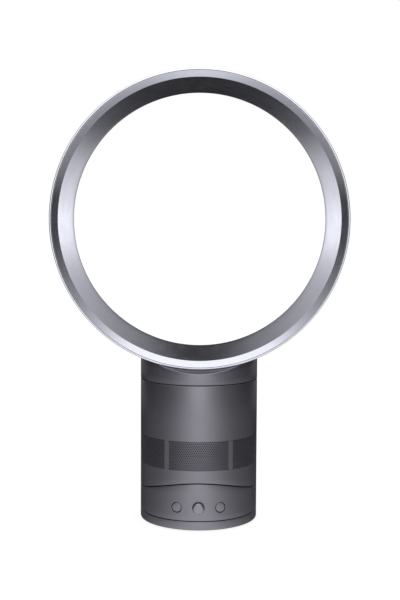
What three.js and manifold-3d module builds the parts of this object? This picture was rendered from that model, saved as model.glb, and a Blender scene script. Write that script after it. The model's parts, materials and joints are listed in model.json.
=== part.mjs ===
// A bladeless desk fan: a hollow ring that blows air from a thin slot round its throat, on a
// cylindrical base that tilts, swings from side to side and hides the impeller that feeds it.
// Millimetres, +Z up. The origin is on the floor, at the centre of the base. The front is -Y.
import * as THREE from "three";
import { mergeVertices } from "three/addons/utils/BufferGeometryUtils.js";
import Module from "manifold-3d";

const wasm = await Module();
wasm.setup();

// ---------------------------------------------------------------- driving dimensions
// overall; the height of 547 follows from the neck line, the rise above it and the loop
const baseRadius = 72;
const loopRadius = 178;
const loopThickness = 21.5; // from the outside of the loop in to its opening
const loopFrontReach = 54; // forward of the axis of the base
const loopBackReach = 50;
const neckRise = 16.5; // from the neck line up to the lowest point of the loop

// gaps
const seam = 0.9; // open line between two casings that move or come apart
const fit = 0.3; // between two pieces that seat on or in each other
const running = 0.4; // round a shaft, a button or a gear

// heights of the three lines round the base
const swivelSeamZ = 12.3;
const tiltSeamZ = 41.8; // at the sides, where the curved tilt line is lowest
const tiltRadius = 170; // from there up to the line that the tilt turns about
const neckSeamZ = 174.5;

// foot
const baseWall = 2.6;
const footFloor = 2.2;
const edgeRound = 2.4;
const padCount = 5;
const padRadius = 5;
const padInset = 12; // from the side of the base to the middle of a pad
const padStandOut = 1.2;
const padRecess = 1.2;
const ledgeGap = 4.7; // between the pinion's teeth and the ledge for the glide ring
const ledgeWidth = 7;
const ledgeHeight = 5.2;
const postRadius = 11;
const postHeight = 7;
const spigotRadius = 7;
const spigotBore = 4.5;
const spigotTop = 4.6; // above the floor of the lower housing
const clipThickness = 1.2;
const clipRadius = 11;
const clipGrooveDepth = 1.2;
const clipMouth = 7;
const glandRadius = 3.6;
const glandBore = 2.8;
const glandLength = 5.5;

// swing drive
const gearModule = 2;
const sunTeeth = 24;
const pinionTeeth = 10;
const gearFace = 5.6;
const backlash = 0.35;
const driveShaftRadius = 2.6;
const driveMotorInner = 21; // from the axis of the base to the near side of the motor
const driveMotorGap = 4.4; // between its far side and the wall
const driveMotorHeight = 17;
const driveShaftDepth = 8;
const driveHoleGap = 2;
const motorEarLength = 8; // past the side of the can
const motorEarWidth = 9;
const motorEarThickness = 1.6;

// lower housing and controls
const housingFloor = 2.5;
const controlZ = 28.4;
const buttonAngle = 21.5;
const buttonRadius = 5.6;
const dialRadius = 6.5;
const dialStandOut = 4.6;
const buttonTravel = 1.2;
const sleeveWall = 2;
const sleeveDepth = 8;
const capGap = 0.7; // open ring round a button or the dial
const capFlange = 1.8; // how far a cap's flange is wider than the cap
const capFlangeThickness = 1.5;
const buttonChamfer = 0.6;
const dialChamfer = 0.9;
const stemRadius = 2;
const dialShaftGrip = 3;
const boardThickness = 1.6;
const boardWidth = 60;
const boardGap = 4.5; // between the top of the control board and the tilt slide
const controlDepth = 28; // from the front of the base to the face of the control board
const boardStop = 4; // side of the square posts behind it
const switchSize = 6;
const switchHeight = 2.8;
const plungerRadius = 1.7;
const plungerHeight = 1;
const potentiometerSize = 11;
const potentiometerDepth = 9;
const mainBoardLength = 38;
const mainBoardWidth = 32;
const mainBoardInset = 25.4; // from the inside of the wall to the middle of the board
const transformer = [18, 18, 10];
const terminalBlock = [20, 6, 8];
const capacitorRadius = 3.5;
const capacitorHeight = 9;
const standoffHeight = 4;
const standoffRadius = 2.5;

// tilt slide
const platePly = 3;
const guideSpacing = 12; // from a guide to the screws beside it
const guideWidth = 6;
const guideHeadWidth = 13;
const guideHeadPly = 2.6;
const guideHalfAngle = 2;
const tiltLimit = 10;
const wireSlotWidth = 14;
const cradlePostInset = 29.4; // from the inside of the wall to the middle of a post
const cradlePostY = 26;
const cradlePostRadius = 5;
const screwHeadRadius = 2.8;
const screwHeadHeight = 1.8;
const screwRadius = 1.4;
const screwLength = 10;
const screwGrip = 8; // plastic between a screw's head and the piece that it draws in
const driveScrewLength = 3.5;

// air inlet: a band of staggered holes in panels, with plain struts between the panels
const inletRise = 14.8; // from the tilt line, at the front, up to the first row
const inletHeight = 35.2;
const strutAngle = 4.1;
const frontPanelAngle = 59.8;
const panelCount = 6;
const holeColumns = 6; // in each panel
const holeRows = 4; // rows in every second column, one fewer in those between
const holeRadius = 4.3; // to the corners of a diamond-shaped hole

// impeller and motor, which hang from the neck line
const shroudSpace = 14.9; // between the shroud and the inside of the wall
const shroudWall = 1.8;
const throatInset = 18.5; // the shroud's throat is this much narrower than its top
const shroudLead = 4; // how far it starts below the hub
const shoulderLead = 2; // how far its widest part starts above the bottom of the bucket
const shroudDrop = 10; // from the top of the bucket down to the shroud's top
const bellmouthInset = 2.5;
const bellmouthHeight = 8;
const impellerClearance = 1;
const hubNoseRadius = 9;
const hubInset = 16.5; // the air passage between the hub and the shroud
const hubHeight = 26;
const hubGap = 2; // between the hub and the bucket
const hubPly = 2.4;
const bladeCount = 7;
const bladeSweep = 58;
const bladePly = 1.5;
const vaneCount = 8;
const vaneSweep = 26;
const vanePly = 1.6;
const bucketInset = 5; // the bucket that holds the motor is this much narrower than the hub
const bucketWall = 2;
const bucketDepth = 22; // of its lower half
const domeHeight = 22; // of its upper half
const domeSweep = 84; // degrees; the rest is the hole for the wires
const bucketDrop = 6.5; // from the neck line down to the top of the dome
const motorSpace = 7; // between the bucket and the motor
const motorLength = 20;
const motorWall = 1.6;
const windingPly = 7.4; // between the motor's can and its rotor
const motorShaftRadius = 2;
const bearingRadius = 6;
const bearingLength = 4;
const mountCount = 3;
const mountRadius = 4.5;
const mountHeight = 6;
const mountDrop = 6; // from the top of the hub down to the middle of the mounts
const mountInset = 6.4; // from the inside of the wall
const mountLugPly = 3;
const bracketPly = 4;

// twist lock between the base and the neck
const lockRingWall = 4;
const lockRingHeight = 11;
const lockLugCount = 4;
const lockLugAngle = 13;
const lockLugHeight = 2.6;
const lockLugDepth = 2.6;
const lockLedge = 3; // on the inside of the wall, under the ring
const lockPlay = 0.8; // sideways, all round
const spigotWall = 2.2;
const neckSpigotDepth = 12;
const sealHeight = 2.4;

// neck and loop
const neckWall = 2.6;
const rimChamfer = 0.5; // on both sides of the neck line
const neckTopDrop = 2.4; // how far the neck's front lip lies below the loop
const airwayInset = 13.5; // from the inside of the spigot to the end of the airway
const airwayHalfY = 27;
const loopWall = 2.2;
const loopTaper = 1.5; // the outer wall narrows this much towards the back
const rollLength = 22; // how far the rolled back edge reaches
const lipReach = 4; // how far the lip runs on, forward of the roll
const slotGap = 1.3;
const slotOverlap = 4;
const slotTail = 3; // the curl at the start of the slot
const coandaRise = 1.2;
const flareStart = 8; // where the diverging wall starts, back of the middle
const guideRise = 11.7; // from the opening out to the front edge of the diverging wall
const bevelDepth = 7;
const spacerCount = 11;
const spacerLength = 3;
const spacerWidth = 4;

// faces
const roundSides = 28;
const loopSides = 44;
const midSides = 20;
const capSides = 12;
const smallSides = 8;
const screwSides = 6;
const holeSides = 4;

// colours
const gunmetal = { color: 0x62626a, roughness: 0.38, metalness: 0.75 };
const satinSilver = { color: 0x9a9ca4, roughness: 0.3, metalness: 0.9 };
const rubber = { color: 0x1b1b1d, roughness: 0.85, metalness: 0 };
const acetal = { color: 0xdcdcd4, roughness: 0.5, metalness: 0 };
const blackPlastic = { color: 0x2a2b2e, roughness: 0.55, metalness: 0 };
const steel = { color: 0xb4b6b8, roughness: 0.35, metalness: 1 };
const boardGreen = { color: 0x1f5a3a, roughness: 0.6, metalness: 0 };

// ---------------------------------------------------------------- derived levels and radii
const loopAxisZ = neckSeamZ + neckRise + loopRadius;
const throatRadius = loopRadius - loopThickness;
const guideRadius = throatRadius + guideRise;
const tiltPivotZ = tiltSeamZ + tiltRadius;
const footTopZ = swivelSeamZ - seam / 2;
const housingZ = swivelSeamZ + seam / 2;
const housingFloorZ = housingZ + housingFloor;
const footFloorZ = padStandOut + footFloor;
const caseInner = baseRadius - baseWall;
const cradleRadius = tiltRadius + seam / 2;
const shoeRadius = tiltRadius - seam / 2;
const sunRadius = (gearModule * sunTeeth) / 2;
const pinionRadius = (gearModule * pinionTeeth) / 2;
const driveCentre = sunRadius + pinionRadius;
const ledgeInner = driveCentre + pinionRadius + gearModule + ledgeGap - backlash;
const ledgeOuter = ledgeInner + ledgeWidth;
const padCircle = baseRadius - padInset;
const driveMotorRadius = (caseInner - driveMotorGap - driveMotorInner) / 2;
const motorEarReach = driveMotorRadius + motorEarLength;
const boardSetBack = baseRadius - controlDepth;
const mainBoardX = mainBoardInset - caseInner;
const cradlePostX = caseInner - cradlePostInset;
const guideX = cradlePostX - guideSpacing;
const neckZ = neckSeamZ + seam / 2;
const caseTopZ = neckSeamZ - seam / 2;
const sleeveEnd = caseInner - sleeveDepth;
const lockRingOuter = caseInner - fit;
const lockRingInner = lockRingOuter - lockRingWall;
const neckSpigotRadius = lockRingInner - lockLugDepth - lockPlay;
const airwayHalfX = neckSpigotRadius - spigotWall - airwayInset;
const loopFrontY = -loopFrontReach;
const loopBackY = loopBackReach;
const shroudRadius = caseInner - shroudSpace;
const inletThroat = shroudRadius - throatInset;
const bellmouthRadius = shroudRadius - bellmouthInset;
const mountCircle = caseInner - mountInset;
const hubRadius = shroudRadius - hubInset;
const bucketRadius = hubRadius - bucketInset;
const motorRadius = bucketRadius - bucketWall - motorSpace;
const rotorRadius = motorRadius - motorWall - windingPly;
const bucketTopZ = neckSeamZ - bucketDrop;
const bucketJointZ = bucketTopZ - domeHeight;
const bucketBottomZ = bucketJointZ - bucketDepth;
const hubTopZ = bucketBottomZ - hubGap;
const hubBottomZ = hubTopZ - hubHeight;
const mountZ = hubTopZ - mountDrop;
const shroudBottomZ = hubBottomZ - shroudLead;
const shroudShoulderZ = bucketBottomZ + shoulderLead;
const shroudTopZ = bucketTopZ - shroudDrop;

const degrees = (a) => (a * Math.PI) / 180;

// ---------------------------------------------------------------- solids
// A closed three.js geometry as a manifold solid with its faces pointing out.
function solid(geometry) {
  const bare = geometry.index ? geometry.toNonIndexed() : geometry.clone();
  bare.deleteAttribute("normal");
  bare.deleteAttribute("uv");
  const merged = mergeVertices(bare, 1e-4);
  const corners = merged.index.array;
  const triangles = [];
  for (let i = 0; i < corners.length; i += 3) {
    const [a, b, c] = [corners[i], corners[i + 1], corners[i + 2]];
    if (a !== b && b !== c && c !== a) triangles.push([a, b, c]);
  }
  const make = (order) =>
    new wasm.Manifold(
      new wasm.Mesh({
        numProp: 3,
        vertProperties: new Float32Array(merged.attributes.position.array),
        triVerts: new Uint32Array(triangles.flatMap(order)),
      }),
    );
  const made = make(([a, b, c]) => [a, b, c]);
  return made.volume() > 0 ? made : make(([a, b, c]) => [a, c, b]);
}

// A manifold solid as a flat-shaded three.js geometry.
function geometryOf(made) {
  const mesh = made.getMesh();
  const indexed = new THREE.BufferGeometry();
  indexed.setAttribute("position", new THREE.BufferAttribute(mesh.vertProperties, 3));
  indexed.setIndex(new THREE.BufferAttribute(mesh.triVerts, 1));
  const flat = indexed.toNonIndexed();
  flat.computeVertexNormals();
  return flat;
}

const union = (solids) => wasm.Manifold.union(solids);

// Turns a profile of [radius, z] points about the Z axis. A profile off the axis closes on itself.
function turned(profile, sides = roundSides) {
  const points = profile.map(([r, z]) => new THREE.Vector2(r, z));
  const onAxis = profile[0][0] === 0 && profile.at(-1)[0] === 0;
  if (!onAxis) points.push(points[0].clone());
  return solid(new THREE.LatheGeometry(points, sides).rotateX(Math.PI / 2));
}

// Turns a profile of [radius, y] points about the axis of the loop.
function turnedRoundLoop(profile, sides = loopSides) {
  const points = profile.map(([r, y]) => new THREE.Vector2(r, y));
  points.push(points[0].clone());
  return solid(new THREE.LatheGeometry(points, sides).translate(0, 0, loopAxisZ));
}

function box(x0, x1, y0, y1, z0, z1) {
  const made = new THREE.BoxGeometry(x1 - x0, y1 - y0, z1 - z0);
  return solid(made.translate((x0 + x1) / 2, (y0 + y1) / 2, (z0 + z1) / 2));
}

// An upright cylinder, or a cone if the top has another radius.
function post(x, y, radius, z0, z1, sides = smallSides, topRadius = radius) {
  const made = new THREE.CylinderGeometry(topRadius, radius, z1 - z0, sides);
  return solid(made.rotateX(Math.PI / 2).translate(x, y, (z0 + z1) / 2));
}

// A cylinder that points out of the base at an angle from the front, from radius r0 to r1.
function spoke(angle, z, radius, r0, r1, sides = smallSides, outerRadius = radius) {
  const made = new THREE.CylinderGeometry(outerRadius, radius, r1 - r0, sides);
  made.translate(0, (r0 + r1) / 2, 0).rotateZ(Math.PI + degrees(angle));
  return solid(made.translate(0, 0, z));
}

// A flat shape drawn in the YZ plane, extruded along X.
function slab(points, x0, x1) {
  const shape = new THREE.Shape(points.map(([y, z]) => new THREE.Vector2(y, z)));
  const made = new THREE.ExtrudeGeometry(shape, { depth: x1 - x0, bevelEnabled: false });
  const [x, y, z] = [[1, 0, 0], [0, 1, 0], [0, 0, 1]].map((v) => new THREE.Vector3(...v));
  made.applyMatrix4(new THREE.Matrix4().makeBasis(y, z, x));
  return solid(made.translate(x0, 0, 0));
}

// A flat shape drawn in the XY plane, extruded up from z0 to z1.
function plate(shape, z0, z1, curveSegments = smallSides) {
  const options = { depth: z1 - z0, bevelEnabled: false, curveSegments };
  return solid(new THREE.ExtrudeGeometry(shape, options).translate(0, 0, z0));
}

// A lathe with its own list of angles, so that each column of inlet holes has one flat facet.
function facetedTube(profile, angles) {
  const rows = profile.length;
  const at = (i, j) => {
    const [r, z] = profile[j % rows];
    const a = degrees(angles[i % angles.length]);
    return [r * Math.sin(a), -r * Math.cos(a), z];
  };
  const faces = [];
  for (let i = 0; i < angles.length; i++) {
    for (let j = 0; j < rows; j++) {
      const [a, b, c, d] = [at(i, j), at(i + 1, j), at(i + 1, j + 1), at(i, j + 1)];
      faces.push(...a, ...b, ...c, ...a, ...c, ...d);
    }
  }
  const made = new THREE.BufferGeometry();
  made.setAttribute("position", new THREE.Float32BufferAttribute(faces, 3));
  return solid(made);
}

// Points on an arc, as [centre + radius * cos, centre + radius * sin], ends included.
function arc(cu, cv, ru, rv, from, to, steps) {
  return Array.from({ length: steps + 1 }, (_, i) => {
    const a = degrees(from + ((to - from) * i) / steps);
    return [cu + ru * Math.cos(a), cv + rv * Math.sin(a)];
  });
}

const spin = (made, angle) => made.rotate([0, 0, angle]);

// ---------------------------------------------------------------- tilt surfaces
// Half angle, in degrees, that reaches past the base on both sides.
const tiltSpan = (Math.asin((baseRadius + 7.6) / shoeRadius) * 180) / Math.PI;
const tiltSteps = 12;
const down = -90; // the direction of the middle of a tilt surface
const tiltArc = (radius, from = -tiltSpan, to = tiltSpan, steps = tiltSteps) =>
  arc(0, tiltPivotZ, radius, radius, down + from, down + to, steps);

// A curved bar about the tilt line, between two radii, two angles and two places along X.
function tiltBar(r0, r1, from, to, x0, x1, steps = tiltSteps) {
  const outside = tiltArc(r1, from, to, steps);
  return slab([...outside, ...tiltArc(r0, from, to, steps).reverse()], x0, x1);
}

// Height of the tilt surface of that radius, at a distance y from the middle.
function tiltLevel(radius, y) {
  return tiltPivotZ - Math.sqrt(radius ** 2 - y ** 2);
}

// Everything above, or everything below, the tilt surface of that radius.
const aboveTilt = (radius) =>
  slab([...tiltArc(radius), [0, tiltPivotZ]], -baseRadius * 2, baseRadius * 2);
const belowTilt = (radius) =>
  slab(
    [...tiltArc(radius), [baseRadius * 2, -seam], [-baseRadius * 2, -seam]],
    -baseRadius * 2,
    baseRadius * 2,
  );

// ---------------------------------------------------------------- foot
function footShell() {
  const seatZ = footFloorZ + ledgeHeight;
  const shoulderZ = footFloorZ + postHeight;
  const tipZ = housingFloorZ + spigotTop;
  const grooveZ = housingFloorZ + running;
  const grooveTopZ = grooveZ + clipThickness + fit;
  const grooveRadius = spigotRadius - clipGrooveDepth;
  const shell = turned([
    [0, padStandOut],
    ...arc(
      baseRadius - edgeRound,
      padStandOut + edgeRound,
      edgeRound,
      edgeRound,
      -90,
      0,
      3,
    ),
    [baseRadius, footTopZ],
    [caseInner, footTopZ],
    [caseInner, footFloorZ],
    [ledgeOuter, footFloorZ],
    [ledgeOuter, seatZ],
    [ledgeInner, seatZ],
    [ledgeInner, footFloorZ],
    [postRadius, footFloorZ],
    [postRadius, shoulderZ],
    [spigotRadius, shoulderZ],
    [spigotRadius, grooveZ],
    [grooveRadius, grooveZ],
    [grooveRadius, grooveTopZ],
    [spigotRadius, grooveTopZ],
    [spigotRadius, tipZ],
    [spigotBore, tipZ],
    [spigotBore, footFloorZ],
    [0, footFloorZ],
  ]);
  const recesses = padPlaces().map(([x, y]) =>
    post(x, y, padRadius + fit, -1, padStandOut + padRecess + fit),
  );
  const glandHole = spoke(180, glandZ(), glandRadius + fit, caseInner - 5, baseRadius + 5);
  return shell.subtract(union([...recesses, glandHole]));
}

const glandZ = () => (footFloorZ + footTopZ) / 2;

const padPlaces = () =>
  Array.from({ length: padCount }, (_, i) => {
    const a = degrees((360 * i) / padCount - 90);
    return [padCircle * Math.cos(a), padCircle * Math.sin(a)];
  });

const rubberFoot = ([x, y]) => post(x, y, padRadius, 0, padStandOut + padRecess);

function glideRing() {
  const play = 1;
  const [inner, outer] = [ledgeInner + play, ledgeOuter - play];
  const [z0, z1] = [footFloorZ + ledgeHeight + fit, housingZ - fit];
  return turned([[inner, z0], [outer, z0], [outer, z1], [inner, z1]], midSides);
}

function swivelCirclip() {
  const z0 = housingFloorZ + running + fit / 2;
  const inner = spigotRadius - clipGrooveDepth + fit;
  const [outer, z1] = [clipRadius, z0 + clipThickness];
  const ring = turned([[inner, z0], [outer, z0], [outer, z1], [inner, z1]], midSides);
  const mouth = box(-clipMouth / 2, clipMouth / 2, 0, clipRadius + 1, z0 - 1, z1 + 1);
  return ring.subtract(mouth);
}

function cableGland() {
  const end = baseRadius - fit;
  const bush = spoke(180, glandZ(), glandRadius, end - glandLength, end);
  const bore = spoke(180, glandZ(), glandBore, end - glandLength - 1, end + 1);
  return bush.subtract(bore);
}

// ---------------------------------------------------------------- swing drive
// A spur gear with involute flanks, each drawn through its root, middle and tip.
function gear(teeth, x, y, z0, z1, bore, turn) {
  const pitch = (gearModule * teeth) / 2;
  const tip = pitch + gearModule - backlash;
  const root = pitch - 1.25 * gearModule;
  const baseCircle = pitch * Math.cos(degrees(20));
  const roll = (r) => {
    const t = Math.sqrt(Math.max((r / baseCircle) ** 2 - 1, 0));
    return t - Math.atan(t);
  };
  const halfAt = (r) =>
    Math.PI / (2 * teeth) - backlash / (2 * pitch) + roll(pitch) - roll(r);
  const shape = new THREE.Shape();
  for (let i = 0; i < teeth; i++) {
    const middle = turn + (2 * Math.PI * i) / teeth;
    const flank = [root, pitch, tip].map((r) => [r, halfAt(r)]);
    const outline = [
      ...flank.map(([r, half]) => [r, middle - half]),
      ...flank.reverse().map(([r, half]) => [r, middle + half]),
    ];
    for (const [r, a] of outline) {
      const [px, py] = [x + r * Math.cos(a), y + r * Math.sin(a)];
      if (shape.curves.length || shape.currentPoint.lengthSq() > 0) shape.lineTo(px, py);
      else shape.moveTo(px, py);
    }
  }
  shape.holes.push(new THREE.Path().absarc(x, y, bore, 0, 2 * Math.PI, true));
  return plate(shape, z0, z1, midSides / 2);
}

const gearTop = () => footFloorZ + gearFace;

const swivelGear = () =>
  gear(sunTeeth, 0, 0, footFloorZ + fit, gearTop(), postRadius + fit, Math.PI / 2);

// A tooth of the fixed gear points straight back, so a gap of the pinion faces it.
const oscillationPinion = () => {
  const facing = -Math.PI / 2 + Math.PI / pinionTeeth;
  const [z0, z1] = [footFloorZ + 2 * fit, gearTop() - fit];
  return gear(pinionTeeth, 0, driveCentre, z0, z1, driveShaftRadius + fit, facing);
};

const oscillationShaft = () =>
  post(0, driveCentre, driveShaftRadius, footFloorZ + 2 * fit, housingFloorZ + driveShaftDepth);

function oscillationMotor() {
  const y = driveMotorInner + driveMotorRadius;
  const [z0, z1] = [motorFootZ, motorFootZ + driveMotorHeight];
  const can = post(0, y, driveMotorRadius, z0, z1, midSides);
  const half = motorEarWidth / 2;
  const earTop = z0 + motorEarThickness;
  const ears = box(-motorEarReach, motorEarReach, y - half, y + half, z0, earTop);
  const holes = motorScrewPlaces().map(([sx, sy]) =>
    post(sx, sy, screwRadius + fit, z0 - 1, earTop + 1, screwSides),
  );
  const socketTop = housingFloorZ + driveShaftDepth + running;
  const socket = post(0, driveCentre, driveShaftRadius + running, 0, socketTop);
  return can.add(ears).subtract(union([...holes, socket]));
}

const motorFootZ = housingFloorZ + fit;
const motorScrewPlaces = () => {
  const x = motorEarReach - screwHeadRadius - 1;
  return [-x, x].map((side) => [side, driveMotorInner + driveMotorRadius]);
};

// A pan-head screw that points up from the seat of its head.
function screw(x, y, seatZ, length) {
  const shank = post(x, y, screwRadius, seatZ - 0.5, seatZ + length, screwSides);
  const crown = screwHeadRadius * 0.7;
  const head = post(x, y, crown, seatZ - screwHeadHeight, seatZ, smallSides, screwHeadRadius);
  return shank.add(head);
}

// The same screw turned over, so that it points down from the seat of its head.
const screwDown = (x, y, seatZ, length) =>
  screw(x, -y, 0, length).rotate([180, 0, 0]).translate([0, 0, seatZ]);

// ---------------------------------------------------------------- lower housing and controls
const controls = [
  { name: "power", angle: -buttonAngle, radius: buttonRadius },
  { name: "dial", angle: 0, radius: dialRadius },
  { name: "oscillation", angle: buttonAngle, radius: buttonRadius },
];

const cradlePosts = () =>
  [-1, 1].flatMap((sx) => [-1, 1].map((sy) => [sx * cradlePostX, sy * cradlePostY]));
const cradleScrewSeat = (y) => tiltLevel(cradleRadius + platePly + fit, y) - screwGrip;

const mainBoardPosts = () =>
  [-1, 1].flatMap((sx) =>
    [-1, 1].map((sy) => [
      mainBoardX + sx * (mainBoardWidth / 2 - standoffRadius - 1),
      sy * (mainBoardLength / 2 - standoffRadius - 1),
    ]),
  );

function lowerHousing() {
  const bore = spigotRadius + running;
  const top = tiltLevel(cradleRadius, baseRadius) + 1;
  const shell = turned([
    [bore, housingZ],
    [baseRadius, housingZ],
    [baseRadius, top],
    [caseInner, top],
    [caseInner, housingFloorZ],
    [bore, housingFloorZ],
  ]);
  const sleeves = controls.map(({ angle, radius }) => {
    const outer = radius + capGap + sleeveWall;
    return spoke(angle, controlZ, outer, sleeveEnd, baseRadius - 1, capSides);
  });
  const posts = cradlePosts().map(([x, y]) =>
    post(x, y, cradlePostRadius, housingFloorZ - 1, top),
  );
  const standoffs = mainBoardPosts().map(([x, y]) =>
    post(x, y, standoffRadius, housingFloorZ - 1, housingFloorZ + standoffHeight, screwSides),
  );
  const boardStops = [-1, 1].map((side) => {
    const x = side * (boardWidth / 2 - boardStop);
    const back = boardThickness - boardSetBack + fit;
    const [half, top] = [boardStop / 2, housingFloorZ + boardHeight];
    return box(x - half, x + half, back, back + boardStop, housingFloorZ - 1, top);
  });
  const holes = controls.map(({ angle, radius }) =>
    spoke(angle, controlZ, radius + capGap, sleeveEnd - 1, baseRadius + 5, capSides),
  );
  const driveHole = post(0, driveCentre, driveShaftRadius + driveHoleGap, 0, housingFloorZ + 1);
  const screwHoles = cradlePosts().flatMap(([x, y]) => [
    post(x, y, screwRadius + fit, 0, tiltLevel(cradleRadius, y), screwSides),
    post(x, y, screwHeadRadius + fit, 0, cradleScrewSeat(y) + fit),
  ]);
  const motorHoles = motorScrewPlaces().map(([x, y]) =>
    post(x, y, screwRadius + fit, 0, housingFloorZ + 1, screwSides),
  );
  return shell
    .add(union([...posts, ...standoffs]))
    .subtract(aboveTilt(cradleRadius + platePly + fit).intersect(insideCase()))
    .add(union([...sleeves, ...boardStops]))
    .subtract(aboveTilt(cradleRadius))
    .subtract(union([...holes, driveHole, ...screwHoles, ...motorHoles]));
}

// The space inside the walls of the base.
const insideCase = () => post(0, 0, caseInner, -1, tiltPivotZ, roundSides);

// A round cap on a flange that its sleeve holds back, with a stem that reaches in to stemEnd.
function cap(angle, radius, chamfer, front, stemEnd, sides) {
  const flangeFront = sleeveEnd - running;
  const back = flangeFront - capFlangeThickness;
  return union([
    spoke(angle, controlZ, radius, flangeFront - 1, front - chamfer, sides),
    spoke(angle, controlZ, radius, front - chamfer, front, sides, radius - chamfer),
    spoke(angle, controlZ, radius + capFlange, back, flangeFront, sides),
    spoke(angle, controlZ, stemRadius, stemEnd, back + 0.5, screwSides),
  ]);
}

const button = ({ angle, radius }) =>
  cap(angle, radius, buttonChamfer, baseRadius, stemEndRadius, capSides);

const speedDial = () =>
  cap(0, dialRadius, dialChamfer, baseRadius + dialStandOut, dialShaftEnd, midSides);

const boardHeight =
  tiltLevel(cradleRadius + platePly, boardSetBack) - boardGap - housingFloorZ - fit;

// Switches stand square on the board, at the ends of the slanted button stems.
const plungerReach = boardSetBack + fit + switchHeight + plungerHeight;
const stemEndRadius =
  (plungerReach + running) / Math.cos(degrees(buttonAngle)) + buttonTravel + stemRadius / 2;
const switchX = plungerReach * Math.tan(degrees(buttonAngle));

function tactSwitch(side) {
  const half = switchSize / 2;
  const x = side * switchX;
  const [y0, y1] = [-(boardSetBack + fit + switchHeight), -boardSetBack - fit];
  const body = box(x - half, x + half, y0, y1, controlZ - half, controlZ + half);
  const length = plungerHeight + 1;
  const plunger = new THREE.CylinderGeometry(plungerRadius, plungerRadius, length, screwSides);
  return body.add(solid(plunger.translate(x, 1 - plungerReach + length / 2 - 1, controlZ)));
}

const dialShaftEnd = boardSetBack + potentiometerDepth - dialShaftGrip;

// Turned by the end of the dial's shaft, which is in a socket in its face.
function speedPotentiometer() {
  const half = potentiometerSize / 2;
  const [y0, y1] = [-(boardSetBack + potentiometerDepth), -boardSetBack - fit];
  const body = box(-half, half, y0, y1, controlZ - half, controlZ + half);
  const socket = [stemRadius + running, dialShaftEnd - running, baseRadius];
  return body.subtract(spoke(0, controlZ, ...socket, screwSides));
}

function controlBoard() {
  const half = boardWidth / 2;
  const y1 = boardThickness - boardSetBack;
  const z0 = housingFloorZ + fit;
  return box(-half, half, -boardSetBack, y1, z0, z0 + boardHeight);
}

// The mains board, with its transformer, capacitor and terminal block.
function mainBoard() {
  const [hx, hy] = [mainBoardWidth / 2, mainBoardLength / 2];
  const z0 = housingFloorZ + standoffHeight + fit;
  const z1 = z0 + boardThickness;
  const x = mainBoardX;
  const part = ([w, d, h], px, py) =>
    box(px - w / 2, px + w / 2, py - d / 2, py + d / 2, z1 - 0.5, z1 + h);
  const edgeY = 1 + terminalBlock[1] / 2 - hy;
  const canY = edgeY + terminalBlock[1] / 2 + capacitorRadius + 0.5;
  return union([
    box(x - hx, x + hx, -hy, hy, z0, z1),
    part(transformer, x + 1, hy - 5 - transformer[1] / 2),
    part(terminalBlock, x - 2, edgeY),
    post(x - transformer[0] / 2 + 1, canY, capacitorRadius, z1 - 0.5, z1 + capacitorHeight),
  ]);
}

// ---------------------------------------------------------------- tilt slide
const guideReach = () => guideHalfAngle + tiltLimit + 0.3;
const plateRadius = caseInner - fit;

function tiltCradle() {
  const [r0, r1] = [cradleRadius, cradleRadius + platePly];
  const blank = tiltBar(r0, r1, -tiltSpan, tiltSpan, -baseRadius, baseRadius);
  const outline = post(0, 0, plateRadius, 0, tiltPivotZ, roundSides);
  const slot = (x, width) =>
    tiltBar(r0 - 2, r1 + 2, -guideReach(), guideReach(), x - width / 2, x + width / 2, 8);
  const slots = [slot(0, wireSlotWidth), ...[-1, 1].map((s) => slot(s * guideX, guideWidth + 1))];
  const pilots = cradlePosts().map(([x, y]) =>
    post(x, y, screwRadius + fit, 0, tiltLevel(r0, y) + 1, screwSides),
  );
  return blank.intersect(outline).subtract(union([...slots, ...pilots]));
}

function tiltShoe() {
  const [r0, r1] = [shoeRadius - platePly, shoeRadius];
  const blank = tiltBar(r0, r1, -tiltSpan, tiltSpan, -baseRadius, baseRadius);
  const outline = post(0, 0, plateRadius, 0, tiltPivotZ, roundSides);
  const wireHole = post(0, 0, wireSlotWidth / 2, 0, tiltPivotZ);
  const pilots = [-1, 1].map((s) =>
    post(s * guideX, 0, screwRadius + fit, 0, tiltPivotZ, screwSides),
  );
  return blank.intersect(outline).subtract(union([wireHole, ...pilots]));
}

// A T-shaped runner: its stem goes through the slot and its head holds the cradle from below.
function tiltGuide(side) {
  const [x, a] = [side * guideX, guideHalfAngle];
  const headTop = cradleRadius + platePly + fit;
  const headBottom = headTop + guideHeadPly;
  const [w, h] = [guideWidth / 2, guideHeadWidth / 2];
  const stem = tiltBar(shoeRadius + fit, headTop + 0.5, -a, a, x - w, x + w, 2);
  const head = tiltBar(headTop, headBottom, -a, a, x - h, x + h, 2);
  const hole = post(x, 0, screwRadius + fit, 0, tiltPivotZ, screwSides);
  return stem.add(head).subtract(hole);
}

const guideUnderside = cradleRadius + platePly + fit + guideHeadPly;
const guideScrewSeat = tiltLevel(guideUnderside, 0) - fit;
const guideScrewLength = tiltLevel(shoeRadius - platePly, 0) - guideScrewSeat - fit;

// ---------------------------------------------------------------- main body
// The angles of the flat facets round the casing, and which of them hold a column of holes.
function inletFacets() {
  const rest = (360 - frontPanelAngle - strutAngle * panelCount) / (panelCount - 1);
  const edges = [];
  const columns = [];
  let angle = -frontPanelAngle / 2;
  for (let panel = 0; panel < panelCount; panel++) {
    const step = (panel === 0 ? frontPanelAngle : rest) / holeColumns;
    for (let i = 0; i < holeColumns; i++) {
      edges.push(angle);
      columns.push({ angle: angle + step / 2, short: i % 2 === 1 });
      angle += step;
    }
    edges.push(angle);
    angle += strutAngle;
  }
  return { edges, columns };
}

const inletZ = tiltLevel(tiltRadius, baseRadius) + inletRise;

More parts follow.
